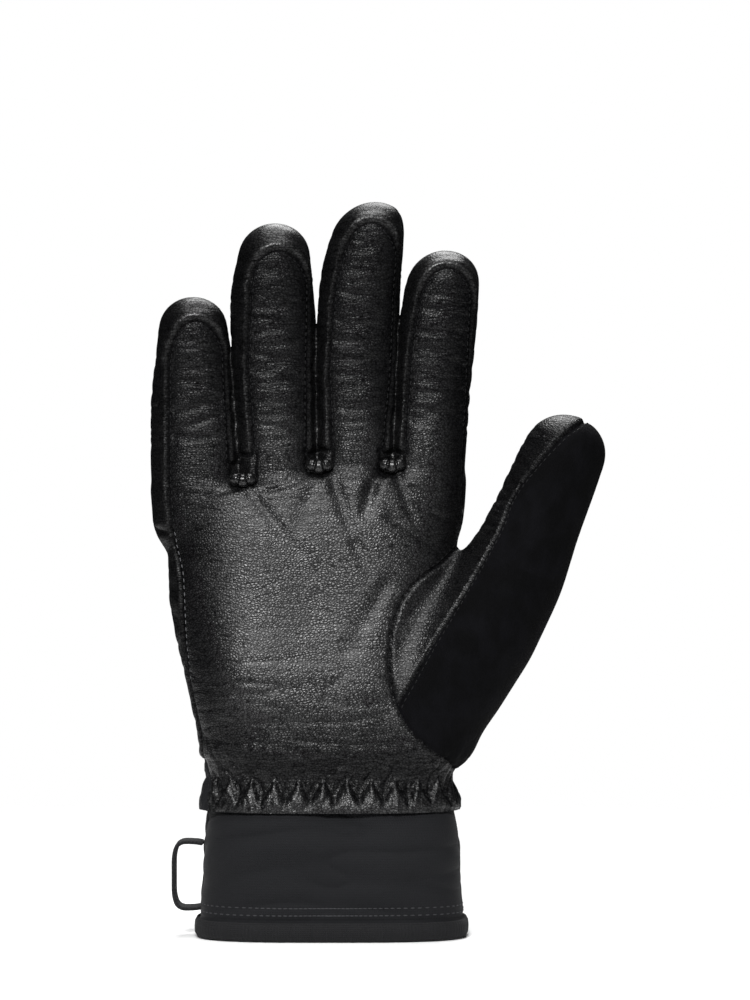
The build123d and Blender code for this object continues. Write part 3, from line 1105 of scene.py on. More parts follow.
def add_camera():
    data = bpy.data.cameras.new("camera")
    data.sensor_width = 36.0
    data.lens = data.sensor_width * CAMERA_DISTANCE / PHOTO_HEIGHT
    data.clip_end = 20.0
    camera = bpy.data.objects.new("camera", data)
    x, z = PHOTO_CENTRE
    camera.location = (x * MM, (PALM_FRONT_Y - CAMERA_DISTANCE) * MM, z * MM)
    camera.rotation_euler = (math.pi / 2, 0.0, 0.0)
    bpy.context.scene.collection.objects.link(camera)
    bpy.context.scene.camera = camera


def add_softbox(name, place, target, size, watts):
    data = bpy.data.lights.new(name, "AREA")
    data.shape = "RECTANGLE"
    data.size, data.size_y = size
    data.energy = watts
    light = bpy.data.objects.new(name, data)
    light.location = place
    light.rotation_euler = look_from(place, target)
    bpy.context.scene.collection.objects.link(light)


def add_studio():
    world = bpy.data.worlds.new("studio")
    bpy.context.scene.world = world
    world.use_nodes = True
    nodes, links = world.node_tree.nodes, world.node_tree.links
    seen, glow = nodes["Background"], nodes.new("ShaderNodeBackground")
    seen.inputs["Color"].default_value = (1.0, 1.0, 1.0, 1.0)
    glow.inputs["Color"].default_value = (0.9, 0.95, 1.0, 1.0)
    glow.inputs["Strength"].default_value = 0.02
    path, mix = nodes.new("ShaderNodeLightPath"), nodes.new("ShaderNodeMixShader")
    links.new(path.outputs["Is Camera Ray"], mix.inputs["Fac"])
    links.new(glow.outputs[0], mix.inputs[1])
    links.new(seen.outputs[0], mix.inputs[2])
    links.new(mix.outputs[0], nodes["World Output"].inputs["Surface"])
    middle = (0.0, 0.0, 0.15)
    add_softbox("key", (-0.18, -1.27, 0.83), middle, (0.45, 0.35), 32.0)
    add_softbox("top", (0.0, -0.1, 1.4), middle, (0.8, 0.8), 15.0)
    add_softbox("fill", (0.9, -0.9, 0.3), middle, (0.5, 0.9), 1.0)
    add_softbox("back", (0.1, 0.85, 1.25), middle, (0.7, 0.7), 15.0)
    bpy.context.scene.view_settings.view_transform = "Standard"


FLOOR_RADIUS = 700.0


def add_floor():
    """A pale floor that fades into the white round it."""
    rings, spokes = 12, 96
    turn = np.linspace(0, FULL_TURN, spokes, endpoint=False)
    radius = FLOOR_RADIUS * np.linspace(0, 1, rings + 1)[1:]
    x, y = np.outer(radius, np.cos(turn)), np.outer(radius, np.sin(turn))
    ring = np.stack([x, y, np.zeros((rings, spokes))], 2)
    points = np.concatenate([[[0.0, 0.0, 0.0]], ring.reshape(-1, 3)])
    index = 1 + np.arange(rings * spokes).reshape(rings, spokes)
    onward = np.roll(index, -1, axis=1)
    quads = np.stack([index[:-1], index[1:], onward[1:], onward[:-1]], 2).reshape(-1, 4)
    middle = np.stack([np.zeros(spokes, int), index[0], onward[0]], 1)
    finish = Finish("floor", (0.88, 0.88, 0.88), 0.6)
    distance = finish.add("ShaderNodeVectorMath", operation="LENGTH")
    finish.join(finish.grain, distance.inputs[0])
    fade = finish.ranged(distance.outputs["Value"], 0.3 * FLOOR_RADIUS, 0.9 * FLOOR_RADIUS, 1.0, 0.0)
    finish.join(fade, finish.shader.inputs["Alpha"])
    new_piece("floor", points, [middle, quads], finish.material)


# ---------------------------------------------------------------- building


def vertex_labels(count, triangles, labels, order):
    """A label for each point from the triangles round it. Later labels in the order win."""
    result = np.full(count, order[0])
    for label in order:
        result[triangles[labels == label]] = label
    return result


def bend_digit(piece, digit, upper):
    split = middle_split(digit)
    if upper:
        digit.at(split)
        digit.at(2 * digit.knee - split)
        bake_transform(piece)
    else:
        start = THUMB_SPLIT if digit is THUMB_DIGIT else FINGER_SPLIT
        digit.at(start)
        digit.at(split)
        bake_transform(piece)


def bend_wrist(piece):
    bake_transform(piece)


def wear_and_shade(points, zone):
    """How wrinkled the leather is and how much painted shade dulls its shine: 1 on the fingers, least
    in the middle of the palm.
    """
    x, _, z = points.T
    # Painted shade: the palm's outer edges and the wrist get more here, which dulls the leather's shine
    # there as well as wrinkling it.
    edges = np.maximum(smoothstep(-30.0, -48.0, x), 0.7 * smoothstep(16.0, 44.0, x))
    ends = np.maximum(0.4 * smoothstep(150.0, 166.0, z), smoothstep(92.0, 66.0, z))
    result = 0.9 * np.maximum(edges, ends)
    result *= 1.0 - 0.8 * smoothstep(0.5, -1.5, above_zigzag(points))
    for k, digit in enumerate(DIGITS):
        here = zone == k
        s = digit.local(points[here])[2]
        up = smoothstep(THUMB_SPLIT, THUMB_SPLIT + 20.0, s) * smoothstep(digit.tip, digit.tip - 14.0, s)
        result[here] = np.maximum(result[here], 0.4 + 0.6 * up)
    return result


PANEL_FINISH = (LEATHER, WALL_LEATHER, LEATHER, LEATHER, SHELL_CLOTH, LEATHER, SUEDE)
PANEL_SLOT = ("leather", "leather", "leather", "leather", "softshell", "leather", "thumb_suede")
HAND_STANDS_FOR = {
    PALM: ["palm_panel"], SHELL: ["back_panel"], KNUCKLE: ["knuckle_pad"],
    THUMB: ["thumb_root_palm_side"], NOSE: ["thumb_root_back"],
}
DIGIT_STANDS_FOR = {PALM: ["palm_side"], WALL: ["side_walls"], BACK: ["back"]}
THUMB_STANDS_FOR = {THUMB: ["palm_side", "side_walls"], NOSE: ["nose_wipe"]}


def build_skin():
    points, triangles = cut_skin()
    kinds, zone = classify(points[triangles].mean(axis=1))
    seams = find_seams(points, triangles, kinds)
    distance, run, pair = nearest_seam(points, seams)
    ranked = sorted(range(len(RANK)), key=lambda k: RANK[k])
    kind_at = vertex_labels(len(points), triangles, kinds, ranked)
    zone_at = vertex_labels(len(points), triangles, zone, [-1, 0, 1, 2, 3, 4])
    normals = normals_of(points, triangles)
    moved = points + normals * relief(points, kind_at, zone_at, distance, run, pair)[:, None]
    thumb_grain = np.column_stack(THUMB_DIGIT.centred(points))
    wrist_crease_shade = drawn_creases(points) * (zone_at < 0) * (points[:, 2] < GATHERED_BELOW)
    rolled = (kind_at == WALL) & (zone_at >= 0) & (pair[:, 0] >= 0)
    marks = {
        # wrinkling, and painted shade on the shine at the palm's edges, the wrist and the fingers
        "worn_and_shaded": wear_and_shade(points, zone_at),
        # painted shade along the seams and in the wrist's drawn creases
        "seam": np.maximum(bump(distance, 0.9), 0.8 * wrist_crease_shade),
        # smoother stretched leather on the fingertip rolls, and a painted highlight there
        "polish_and_highlight": rolled * arch_fullness(points, zone_at) * bump(distance - 2.2, 1.1),
    }
    normals = normals_of(moved, triangles)
    centres = points[triangles].mean(axis=1)
    for kind, name in enumerate(PANEL_NAMES):
        finish, slot = PANEL_FINISH[kind], PANEL_SLOT[kind]
        hand = triangles[(kinds == kind) & (zone == -1)]
        if len(hand):
            piece = panel_piece(f"hand_{name}", moved, normals, points, marks, hand, finish)
            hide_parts(*HAND_STANDS_FOR.get(kind, []))
            if kind in (PALM, SHELL):
                bend_wrist(piece)
            else:
                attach(piece, "hand")
        for k, digit in enumerate(DIGITS):
            above = digit.local(centres)[2] > middle_split(digit)
            for upper, part in ((False, "base"), (True, "tip")):
                members = triangles[(kinds == kind) & (zone == k) & (above == upper)]
                if not len(members):
                    continue
                title = f"{digit.name}_{part}_{name}"
                grain = thumb_grain if digit is THUMB_DIGIT else points
                piece = panel_piece(title, moved, normals, grain, marks, members, finish)
                stands = THUMB_STANDS_FOR if digit is THUMB_DIGIT else DIGIT_STANDS_FOR
                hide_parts(*[f"{digit.name}_{part}_{node}" for node in stands.get(kind, [])])
                bend_digit(piece, digit, upper)
    return BVHTree.FromPolygons(moved.tolist(), triangles.tolist()), seams


# Where the leather is gathered between two fingers: X and Z at the middle of the bend
GATHERS = [(-31.9, 172.0), (-4.4, 176.9), (22.0, 177.1)]
GATHER_BEND, GATHER_TURN = 6.4, 0.8  # radius of the bend, and how far it turns to each side
GATHER_ROLL = 2.6  # radius of the roll at its thickest
PLEATS = 3


def build_gathers(tree):
    """A pleated roll of leather at the foot of each gap between two fingers."""
    stations, spokes = 81, 28
    turn = np.linspace(-GATHER_TURN, GATHER_TURN, stations)
    share = np.abs(turn) / GATHER_TURN
    pleat = 1.0 - 0.26 * (0.5 + 0.5 * np.cos(math.pi * PLEATS * (turn / GATHER_TURN + 1.0))) ** 4
    roll = GATHER_ROLL * pleat * (1.0 - 0.35 * share**2) * np.sqrt(smoothstep(1.0, 0.78, share))
    outward = np.stack([np.sin(turn), -np.cos(turn)], 1)
    spin = np.linspace(0, FULL_TURN, spokes, endpoint=False)
    for k, (x, z) in enumerate(GATHERS):
        across = x + GATHER_BEND * np.sin(turn)
        up = z - GATHER_BEND * np.cos(turn)
        depth = skin_front(tree, x, z - GATHER_BEND - 4.5) + 1.0 + 0.6 * share**2
        points = np.stack([
            across[:, None] + outward[:, :1] * roll[:, None] * np.cos(spin),
            depth[:, None] - roll[:, None] * np.sin(spin),
            up[:, None] + outward[:, 1:] * roll[:, None] * np.cos(spin),
        ], axis=-1)
        index = np.arange(stations * spokes).reshape(stations, spokes)
        onward = np.roll(index, -1, axis=1)
        quads = np.stack([index[1:], onward[1:], onward[:-1], index[:-1]], 2).reshape(-1, 4)
        piece = new_piece(f"crotch_{k}", points.reshape(-1, 3), quads, ROLLED_LEATHER)
        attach(piece, "hand")


def skin_front(tree, x, z):
    """Y of the front of the skin at X and Z."""
    place, _, _, _ = tree.ray_cast(Vector((x, -60.0, z)), Vector((0.0, 1.0, 0.0)))
    return place.y


LINER_INSET = 4.2


def build_liners():
    """The fleece that shows through the cuff's mouth, one piece for each part that moves."""
    points, quads = surface_quads(lambda p: skin_field(p) + LINER_INSET, 2.0)
    centres = points[quads].mean(axis=1)
    zone = zones(centres)
    hand = (zone < 0) & (centres[:, 2] > LEATHER_END_Z)
    root = hand & (THUMB_DIGIT.field(centres) < hand_field(centres)) & (centres[:, 0] > 30.0)
    front = centres[:, 1] < 0
    parts = [
        ("palm_liner", hand & ~root & front),
        ("back_liner", hand & ~root & ~front),
        ("thumb_root_liner", root),
    ]
    for name, members in parts:
        piece = fabric(name, points, quads[members], FLEECE)
        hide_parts(name)
        bend_wrist(piece)
    for k, digit in enumerate(DIGITS):
        above = digit.local(centres)[2] > middle_split(digit)
        for upper, part in ((False, "base"), (True, "tip")):
            name = f"{digit.name}_{part}_liner"
            piece = fabric(name, points, quads[(zone == k) & (above == upper)], FLEECE)
            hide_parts(name)
            bend_digit(piece, digit, upper)


def fabric(name, points, faces, finish):
    """A piece made of some of a mesh's faces."""
    used, index = np.unique(faces, return_inverse=True)
    piece = new_piece(name + "_cloth", points[used], index.reshape(faces.shape), finish)
    return piece


# ---------------------------------------------------------------- cuff

CUFF_ROUNDNESS = 3.2
CUFF_RADIUS = 45.0  # about its middle, for distances round it
CUFF_GRAIN_RADIUS = 42.0
# Up the cuff: Z, half-width and half-depth
CUFF_SIZES = [
    (-2, 48.8, 27.7), (34, 47.9, 27.6), (42, 46.6, 26.2), (47, 44.8, 23.6), (52, 43.4, 22.0),
]
cuff_profile = eased(CUFF_SIZES, 3.0)


def cuff_points(offset, z, turn):
    """Points round the cuff, offset outward from its outline."""
    a, b = cuff_profile(z)
    ring = rounded_ring(turn, a + offset, b + offset, CUFF_ROUNDNESS)
    return np.stack([ring * np.cos(turn), ring * np.sin(turn), z], axis=-1)


def tube_quads(rows, columns):
    """The faces of a grid of points that closes on itself along each row."""
    index = np.arange(rows * columns).reshape(rows, columns)
    onward = np.roll(index, -1, axis=1)
    return np.stack([index[:-1], onward[:-1], onward[1:], index[1:]], 2).reshape(-1, 4)


def round_piece(name, offsets, heights, finish, relief=None, columns=320):
    """A piece that goes right round the cuff. Offsets and heights give its profile."""
    turn = np.linspace(0, FULL_TURN, columns, endpoint=False)
    turn, offset = np.meshgrid(turn, offsets)
    z = np.broadcast_to(np.array(heights)[:, None], turn.shape)
    if relief is not None:
        offset = offset + relief(turn, z)
    points = cuff_points(offset, z, turn)
    quads = tube_quads(len(heights), columns)
    grain = np.stack([turn * CUFF_GRAIN_RADIUS, offset, z], axis=-1).reshape(-1, 3)
    piece = new_piece(name, points.reshape(-1, 3), quads, finish, grain=grain)
    return piece


def cuff_folds(turn, z):
    """Soft folds that fade out under the strap and at the hem."""
    ring = np.stack([np.cos(turn) * 2.1, np.sin(turn) * 2.1, z / 26.0], axis=-1).reshape(-1, 3)
    swell = rough(ring, (0.9, 0.9, 1.3), 11.0).reshape(turn.shape)
    fold = folds(ring, (0.5, 0.5, 2.6), 37.0, 1.6).reshape(turn.shape)
    loose = smoothstep(5.0, 14.0, z)
    flat = smoothstep(0.75, 0.35, np.sin(turn))
    hem = -0.7 * bump(z - 7.6, 0.9)
    seams = sum(-0.8 * bump((turn - at) * CUFF_RADIUS, 1.1) for at in (math.pi, 0.0, FULL_TURN))
    return (1.3 * swell + 1.5 * fold) * loose * flat - 0.3 + hem + seams * smoothstep(6.0, 8.0, z)


def hem_ribs(turn, z):
    return 0.12 * np.cos(turn * 210.0) * smoothstep(0.2, 1.5, z)


# Across the binding, from the lining round the hem to the shell: offset from the cuff's outline, Z
BINDING_PROFILE = [
    (-3.2, 6.8), (-3.5, 4.5), (-3.2, 1.8), (-2.1, 0.4), (-1.0, 0.05), (0.1, 0.4), (0.9, 1.8),
    (1.1, 3.8), (1.0, 5.6), (0.5, 6.6), (-0.2, 6.9), (-0.9, 6.5),
]


def build_cuff():
    heights = np.concatenate([np.linspace(3.0, 47.0, 76), np.linspace(47.6, 51.0, 5)])
    flush = np.zeros(len(heights))
    shell = round_piece("cuff_softshell", flush, heights, SHELL_CLOTH, cuff_folds)
    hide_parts("cuff_shell")
    bend_wrist(shell)
    heights = np.linspace(5.0, 49.5, 24)
    lining = round_piece("cuff_fleece", np.full(24, -3.2), heights, FLEECE, columns=200)
    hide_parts("cuff_lining")
    bend_wrist(lining)
    offsets, heights = np.array(BINDING_PROFILE).T
    binding = round_piece("cuff_hem", offsets, heights, BINDING, hem_ribs, columns=640)
    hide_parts("cuff_binding")
    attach(binding, "cuff")


ELASTIC_INSET = 3.4


def build_elastic():
    """The elastic under the leather, which draws the wrist in."""
    turn = np.linspace(0, FULL_TURN, 240, endpoint=False)
    heights = np.linspace(53.5, 60.5, 8)
    rows = []
    for z in heights:
        left, right, front, back = hand_section(z)
        a, b = (right - left) / 2 - ELASTIC_INSET, (back - front) / 2 - ELASTIC_INSET
        ring = rounded_ring(turn, a, b, WRIST_ROUNDNESS) + 0.35 * np.cos(turn * 60.0)
        x = ring * np.cos(turn) + (left + right) / 2
        rows.append(np.stack([x, ring * np.sin(turn), np.full(len(turn), z)], 1))
    quads = tube_quads(len(rows), len(turn))
    piece = new_piece("wrist_elastic_band", np.concatenate(rows), quads, ELASTIC)
    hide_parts("wrist_elastic")
    bend_wrist(piece)


# ---------------------------------------------------------------- flat strips


def spaced(path, step):
    """Points at even spacing on a smooth line through a few points."""
    path = np.array(path, float)
    for _ in range(4):
        ahead = 0.75 * path[:-1] + 0.25 * path[1:]
        beyond = 0.25 * path[:-1] + 0.75 * path[1:]
        corners = np.stack([ahead, beyond], 1).reshape(-1, 3)
        path = np.concatenate([path[:1], corners, path[-1:]])
    reach = np.concatenate([[0.0], np.cumsum(np.linalg.norm(np.diff(path, axis=0), axis=1))])
    at = np.linspace(0.0, reach[-1], max(int(reach[-1] / step), 2) + 1)
    return np.stack([np.interp(at, reach, path[:, k]) for k in range(3)], 1), at


def strip(name, path, side, width, thickness, finish, relief=None, step=0.6, rounding=0.8):
    """A flat strip with rounded edges and ends along a line. side is the direction across it."""
    places, at = spaced(path, step)
    tangents = np.gradient(places, axis=0)
    tangents /= np.linalg.norm(tangents, axis=1)[:, None]
    side = np.array(side, float)
    normals = np.cross(side, tangents)
    inner = np.linspace(-0.86, 0.86, int(width / step))
    across = np.concatenate([np.linspace(-1, -0.9, 4), inner, np.linspace(0.9, 1, 4)])
    edge = np.sqrt(np.clip((1.0 - np.abs(across)) * width / 2 / rounding, 0.0, 1.0))
    end = np.clip(np.minimum(at, at[-1] - at) / rounding, 0.0, 1.0)
    end = np.sqrt(end * (2.0 - end))
    lift = np.outer(end, edge) * thickness / 2
    u, v = np.meshgrid(at, across * width / 2, indexing="ij")
    extra = relief(u, v) * np.outer(end, edge) if relief is not None else 0.0
    middle = places[:, None, :] + v[..., None] * side
    top = middle + (lift + extra)[..., None] * normals[:, None, :]
    under = middle - lift[..., None] * normals[:, None, :]
    rows, columns = u.shape
    index = np.arange(rows * columns).reshape(rows, columns)
    upper = np.stack([index[:-1, :-1], index[1:, :-1], index[1:, 1:], index[:-1, 1:]], 2).reshape(-1, 4)
    lower = upper[:, ::-1] + rows * columns
    rim = np.concatenate([index[0, :-1], index[:-1, -1], index[-1, :0:-1], index[:0:-1, 0]])
    onward = np.roll(rim, -1)
    hem = np.stack([rim, onward, onward + rows * columns, rim + rows * columns], 1)
    points = np.concatenate([top.reshape(-1, 3), under.reshape(-1, 3)])
    grain = np.stack([u, np.zeros(u.shape), v], axis=-1).reshape(-1, 3)
    piece = new_piece(name, points, [upper, lower, hem], finish, grain=np.concatenate([grain, grain]))
    return piece


def tape_nap(u, v):
    """The uneven face of hook or loop tape."""
    places = np.stack([u, v, 0 * u], axis=-1).reshape(-1, 3)
    return 0.12 * rough(places, (1.1, 1.1, 1.0), 41.0).reshape(u.shape)


def strap_relief(u, v):
    """A raised middle inside a stitched border."""
    border = -0.35 * bump(np.abs(v) - 9.6, 0.7)
    return border + 0.1 * smoothstep(9.0, 7.0, np.abs(v)) * np.cos(u * 0.9) ** 2


TAB_RIB_PITCH = 1.8


def tab_ribs(u, v):
    return 0.35 * (0.5 + 0.5 * np.cos(u * FULL_TURN / TAB_RIB_PITCH)) * smoothstep(8.2, 7.0, np.abs(v))


# Lines along the strap and its parts, by X and Y, from the hinge to the free end
STRAP_LINE = [(25.0, 30.4), (12.0, 30.5), (-4.0, 30.5), (-16.0, 30.1), (-25.0, 29.1), (-33.5, 27.3)]
TAB_LINE = [(-32.0, 27.7), (-36.0, 26.6), (-41.0, 24.9)]
HOOK_LINE = [(11.0, 29.2), (-4.0, 29.2), (-14.0, 28.9), (-22.0, 28.1)]
LOOP_LINE = [(13.0, 28.4), (-4.0, 28.4), (-15.0, 28.1), (-24.0, 27.3)]
FIXING_LINE = [(27.0, 28.9), (31.0, 27.6), (35.5, 25.9)]
STRAP_Z, STRAP_WIDTH, STRAP_THICKNESS = 25.0, 25.0, 1.6
FIXING_THICKNESS = 1.8
HOOK_WIDTH, LOOP_WIDTH, NAP_THICKNESS = 20.0, 21.0, 0.8
TAB_WIDTH, TAB_THICKNESS = 19.0, 2.4
PULL_WIDTH, PULL_THICKNESS = 11.6, 1.5
ACROSS_STRAP = (0.0, 0.0, 1.0)

# The pull loop's webbing, from its lower end on the cuff to its upper end
PULL_ROUTE = [
    (-46.5, 0, 10.5), (-50, 0, 9.9), (-55.5, 0, 9.9), (-57.4, 0, 14), (-57.4, 0, 22),
    (-57.4, 0, 30), (-55.5, 0, 34.1), (-50, 0, 34.1), (-46.5, 0, 33.5),
]


def at_height(line, z):
    return [(x, y, z) for x, y in line]


def tape(name, line, width, thickness, finish, relief, step=0.6):
    path = at_height(line, STRAP_Z)
    return strip(name, path, ACROSS_STRAP, width, thickness, finish, relief, step)


def build_strap():
    loop = tape("loop_tape", LOOP_LINE, LOOP_WIDTH, NAP_THICKNESS, LOOP, tape_nap)
    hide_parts("strap_loop_patch")
    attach(loop, "cuff")
    hook = tape("hook_tape", HOOK_LINE, HOOK_WIDTH, NAP_THICKNESS, HOOK, tape_nap)
    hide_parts("strap_hook_patch")
    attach(hook, "strap")
    anchor = tape("strap_fixing", FIXING_LINE[::-1], STRAP_WIDTH, FIXING_THICKNESS, SHELL_CLOTH,
                  strap_relief)
    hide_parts("strap_anchor")
    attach(anchor, "cuff")
    strap = tape("wrist_strap", STRAP_LINE, STRAP_WIDTH, STRAP_THICKNESS, SHELL_CLOTH,
                 strap_relief)
    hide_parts("strap")
    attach(strap, "strap")
    tab = tape("pull_tab", TAB_LINE, TAB_WIDTH, TAB_THICKNESS, RUBBER, tab_ribs, 0.3)
    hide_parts("strap_pull_tab")
    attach(tab, "strap")
    pull = strip("hanging_loop", PULL_ROUTE, (0.0, 1.0, 0.0), PULL_WIDTH, PULL_THICKNESS, WEBBING,
                 step=0.5)
    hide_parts("pull_loop")
    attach(pull, "cuff")


# ---------------------------------------------------------------- stitching

STITCH_LENGTH, STITCH_RADIUS = 1.6, 0.2
STITCH_RINGS, STITCH_SPOKES = 5, 6


def stitch_mesh(places, tangents, normals):
    """One small thread loop, long and rounded, at each place."""
    stations = np.linspace(-1, 1, STITCH_RINGS + 2)[1:-1]
    turn = np.linspace(0, FULL_TURN, STITCH_SPOKES, endpoint=False)
    unit_points = [(-1.0, 0.0, 0.0)]
    for x in stations:
        r = math.sqrt(1.0 - x**4)
        unit_points += [(x, r * math.cos(t), r * math.sin(t)) for t in turn]
    unit_points.append((1.0, 0.0, 0.0))
    shape = np.array(unit_points) * (STITCH_LENGTH / 2, STITCH_RADIUS, STITCH_RADIUS)
    faces = []
    for j in range(STITCH_SPOKES):
        k = (j + 1) % STITCH_SPOKES
        faces.append((0, 1 + k, 1 + j, 1 + j))
        for i in range(STITCH_RINGS - 1):
            a, b = 1 + i * STITCH_SPOKES, 1 + (i + 1) * STITCH_SPOKES
            faces.append((a + j, a + k, b + k, b + j))
        last = 1 + (STITCH_RINGS - 1) * STITCH_SPOKES
        faces.append((last + j, last + k, len(shape) - 1, len(shape) - 1))
    faces = np.array(faces)
    sides = np.cross(normals, tangents)
    frames = np.stack([tangents, sides, normals], axis=1)
    points = places[:, None, :] + np.einsum("pi,nij->npj", shape, frames)
    index = faces[None] + (np.arange(len(places)) * len(shape))[:, None, None]
    return points.reshape(-1, 3), index.reshape(-1, 4)


def stitch_piece(name, rows, finish):
    places, tangents, normals = (np.concatenate(group) for group in zip(*rows))
    points, faces = stitch_mesh(places, tangents, normals)
    ends = faces[:, 2] == faces[:, 3]
    triangles = faces[ends][:, :3]
    piece = new_piece(name, points, [triangles, faces[~ends]], finish)
    return piece


def on_skin(tree, places):
    """The nearest points on the skin and the directions out of it."""
    found = [tree.find_nearest(Vector(p)) for p in places.tolist()]
    return np.array([f[0] for f in found]), np.array([f[1] for f in found])


def seam_stitches(seam, tree, aside=1.1):
    """Places for a row of stitches beside a seam, on the panel that is set in."""
    if RANK[seam.pair[0]] == RANK[seam.pair[1]] or set(seam.pair) == {WALL, THUMB}:
        return None
    toward = seam.inward if RANK[seam.pair[0]] < RANK[seam.pair[1]] else -seam.inward
    count = int(seam.reach[-1] / STITCH_PITCH)
    if count < 2:
        return None
    at = (np.arange(count) + 0.5) * seam.reach[-1] / count
    edge = np.minimum(np.searchsorted(seam.reach, at), len(seam.reach) - 1)
    line = np.stack([np.interp(at, seam.reach, seam.places[:, k]) for k in range(3)], 1)
    ahead = np.stack([np.interp(at + 0.8, seam.reach, seam.places[:, k]) for k in range(3)], 1)
    behind = np.stack([np.interp(at - 0.8, seam.reach, seam.places[:, k]) for k in range(3)], 1)
    tangents = ahead - behind
    tangents /= np.maximum(np.linalg.norm(tangents, axis=1), 1e-6)[:, None]
    near = np.minimum(edge, len(toward) - 1)
    inward = toward[near]
    before, after = np.clip(near - 2, 0, None), np.clip(near + 2, None, len(toward) - 1)
    for _ in range(3):
        inward = inward + toward[before] + toward[after]
    inward -= tangents * (inward * tangents).sum(axis=1)[:, None]
    inward /= np.maximum(np.linalg.norm(inward, axis=1), 1e-6)[:, None]
    places, normals = on_skin(tree, line + inward * aside)
    tangents -= normals * (tangents * normals).sum(axis=1)[:, None]
    tangents /= np.maximum(np.linalg.norm(tangents, axis=1), 1e-6)[:, None]
    return places, tangents, normals


def sew_skin(tree, seams):
    plain, pale = {}, []
    for seam in seams:
        row = seam_stitches(seam, tree)
        if row is None:
            continue
        places = row[0]
        zone = zones(places)
        # Painted highlight: stitches on this stretch of the side seam get the pale thread.
        side = (set(seam.pair) == {PALM, WALL}) & (places[:, 0] < 0) & (zone < 0)
        side &= (places[:, 2] > 92) & (places[:, 2] < SIDE_FOLD_Z)
        if side.any():
            pale.append(tuple(part[side] for part in row))
        for k in range(-1, len(DIGITS)):
            if k < 0:
                here = (zone == k) & ~side & (places[:, 2] > 64)
                if here.any():
                    plain.setdefault((k, False), []).append(tuple(part[here] for part in row))
                continue
            above = DIGITS[k].local(places)[2] > middle_split(DIGITS[k])
            for upper in (False, True):
                here = (zone == k) & (above == upper) & ~side
                if here.any():
                    plain.setdefault((k, upper), []).append(tuple(part[here] for part in row))
    for (k, upper), rows in sorted(plain.items()):
        if k < 0:
            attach(stitch_piece("hand_stitches", rows, THREAD), "hand")
        else:
            part = "tip" if upper else "base"
            piece = stitch_piece(f"{DIGITS[k].name}_{part}_stitches", rows, THREAD)
            bend_digit(piece, DIGITS[k], upper)
    if pale:
        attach(stitch_piece("side_seam_stitches", pale, HIGHLIGHT_THREAD), "hand")
    bend_wrist(stitch_piece("wrist_zigzag", [zigzag(tree)], THREAD))


def zigzag(tree):
    """The zigzag that holds the elastic, three stitches to each leg."""
    legs = 2 * ZIGZAGS
    at = (np.arange(legs * 3) + 0.5) / 3
    share = np.abs(at % 2 - 1)
    z = ZIGZAG_LOW + (ZIGZAG_HIGH - ZIGZAG_LOW) * share
    turn = np.interp((at / legs + wrist_share(*ZIGZAG_PEAK)) % 1.0, WRIST_SHARES, WRIST_TURNS)
    outward = np.stack([np.cos(turn), np.sin(turn), np.zeros(len(turn))], 1)
    places, normals = [], []
    for direction, height in zip(outward, z):
        start = Vector((*(direction[:2] * 90.0), height))
        place, normal, _, _ = tree.ray_cast(start, Vector(-direction))
        places.append(place)
        normals.append(normal)
    places, normals = np.array(places), np.array(normals)
    tangents = np.roll(places, -1, axis=0) - np.roll(places, 1, axis=0)
    order = (np.arange(len(at)) % 3)[:, None]  # each stitch's place on its leg
    before, after = places - np.roll(places, 1, axis=0), np.roll(places, -1, axis=0) - places
    tangents = np.where(order == 1, tangents, np.where(order == 0, after, before))
    tangents -= normals * (tangents * normals).sum(axis=1)[:, None]
    tangents /= np.linalg.norm(tangents, axis=1)[:, None]
    return places + normals * 0.1, tangents, normals


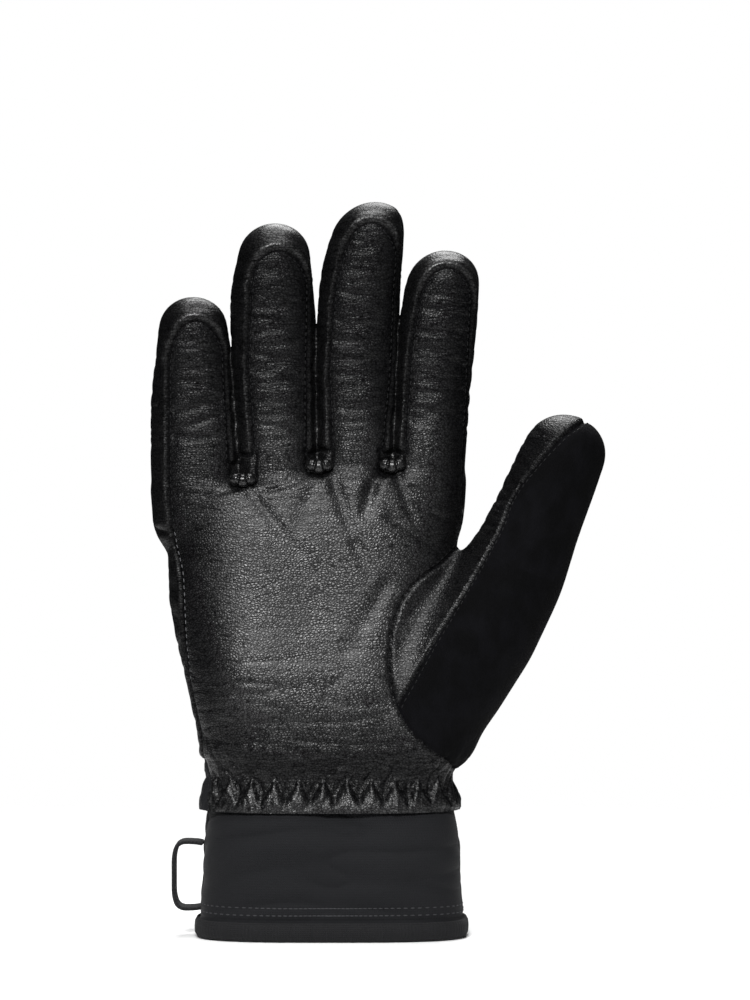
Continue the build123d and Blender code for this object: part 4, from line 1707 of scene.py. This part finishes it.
def strap_row(line, thickness, start, end):
    """Stitches on the upper side of a strap, straight from one X and Z to another."""
    places, _ = spaced(at_height(line, STRAP_Z), 0.5)
    slopes = np.gradient(places, axis=0)
    order = np.argsort(places[:, 0])
    (x0, z0), (x1, z1) = start, end
    count = max(int(math.hypot(x1 - x0, z1 - z0) / STITCH_PITCH), 1)
    share = (np.arange(count) + 0.5) / count
    x, z = x0 + (x1 - x0) * share, z0 + (z1 - z0) * share
    y = np.interp(x, places[order, 0], places[order, 1])
    slope = np.interp(x, places[order, 0], (slopes[:, 1] / slopes[:, 0])[order])
    normals = np.stack([-slope, np.ones(count), np.zeros(count)], 1)
    normals /= np.linalg.norm(normals, axis=1)[:, None]
    tangents = np.stack([np.full(count, x1 - x0), slope * (x1 - x0), np.full(count, z1 - z0)], 1)
    tangents /= np.linalg.norm(tangents, axis=1)[:, None]
    return np.stack([x, y, z], 1) + normals * (thickness / 2 - 0.08), tangents, normals


def sew_strap():
    corners = [(23.5, 15.4), (-31.0, 15.4), (-31.0, 34.6), (23.5, 34.6)]
    sides = zip(corners, corners[1:] + corners[:1])
    rows = [strap_row(STRAP_LINE, STRAP_THICKNESS, a, b) for a, b in sides]
    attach(stitch_piece("strap_stitches", rows, STRAP_THREAD), "strap")
    corners = [(28.6, 15.2), (33.6, 15.2), (33.6, 34.8), (28.6, 34.8)]
    crossed = [(corners[0], corners[2]), (corners[1], corners[3])]
    sides = list(zip(corners, corners[1:] + corners[:1])) + crossed
    rows = [strap_row(FIXING_LINE, FIXING_THICKNESS, a, b) for a, b in sides]
    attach(stitch_piece("fixing_stitches", rows, STRAP_THREAD), "cuff")


CUFF_STITCH_Z = (9.6, 12.2)
CUFF_STITCHES = 116  # in each row


def sew_cuff():
    """Two rows of stitches above the hem."""
    rows = []
    for z in CUFF_STITCH_Z:
        turn = np.linspace(0, FULL_TURN, CUFF_STITCHES, endpoint=False)
        heights = np.full(CUFF_STITCHES, z)
        places, ahead, behind = (
            cuff_points(cuff_folds(t, heights) + 0.05, heights, t)
            for t in (turn, turn + 0.01, turn - 0.01)
        )
        tangents = ahead - behind
        tangents /= np.linalg.norm(tangents, axis=1)[:, None]
        rows.append((places, tangents, np.cross(tangents, (0.0, 0.0, 1.0))))
    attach(stitch_piece("cuff_stitches", rows, STRAP_THREAD), "cuff")


add_camera()
add_studio()
add_floor()
skin_tree, seams = build_skin()
build_gathers(skin_tree)
build_liners()
build_elastic()
build_cuff()
build_strap()
sew_skin(skin_tree, seams)
sew_strap()
sew_cuff()
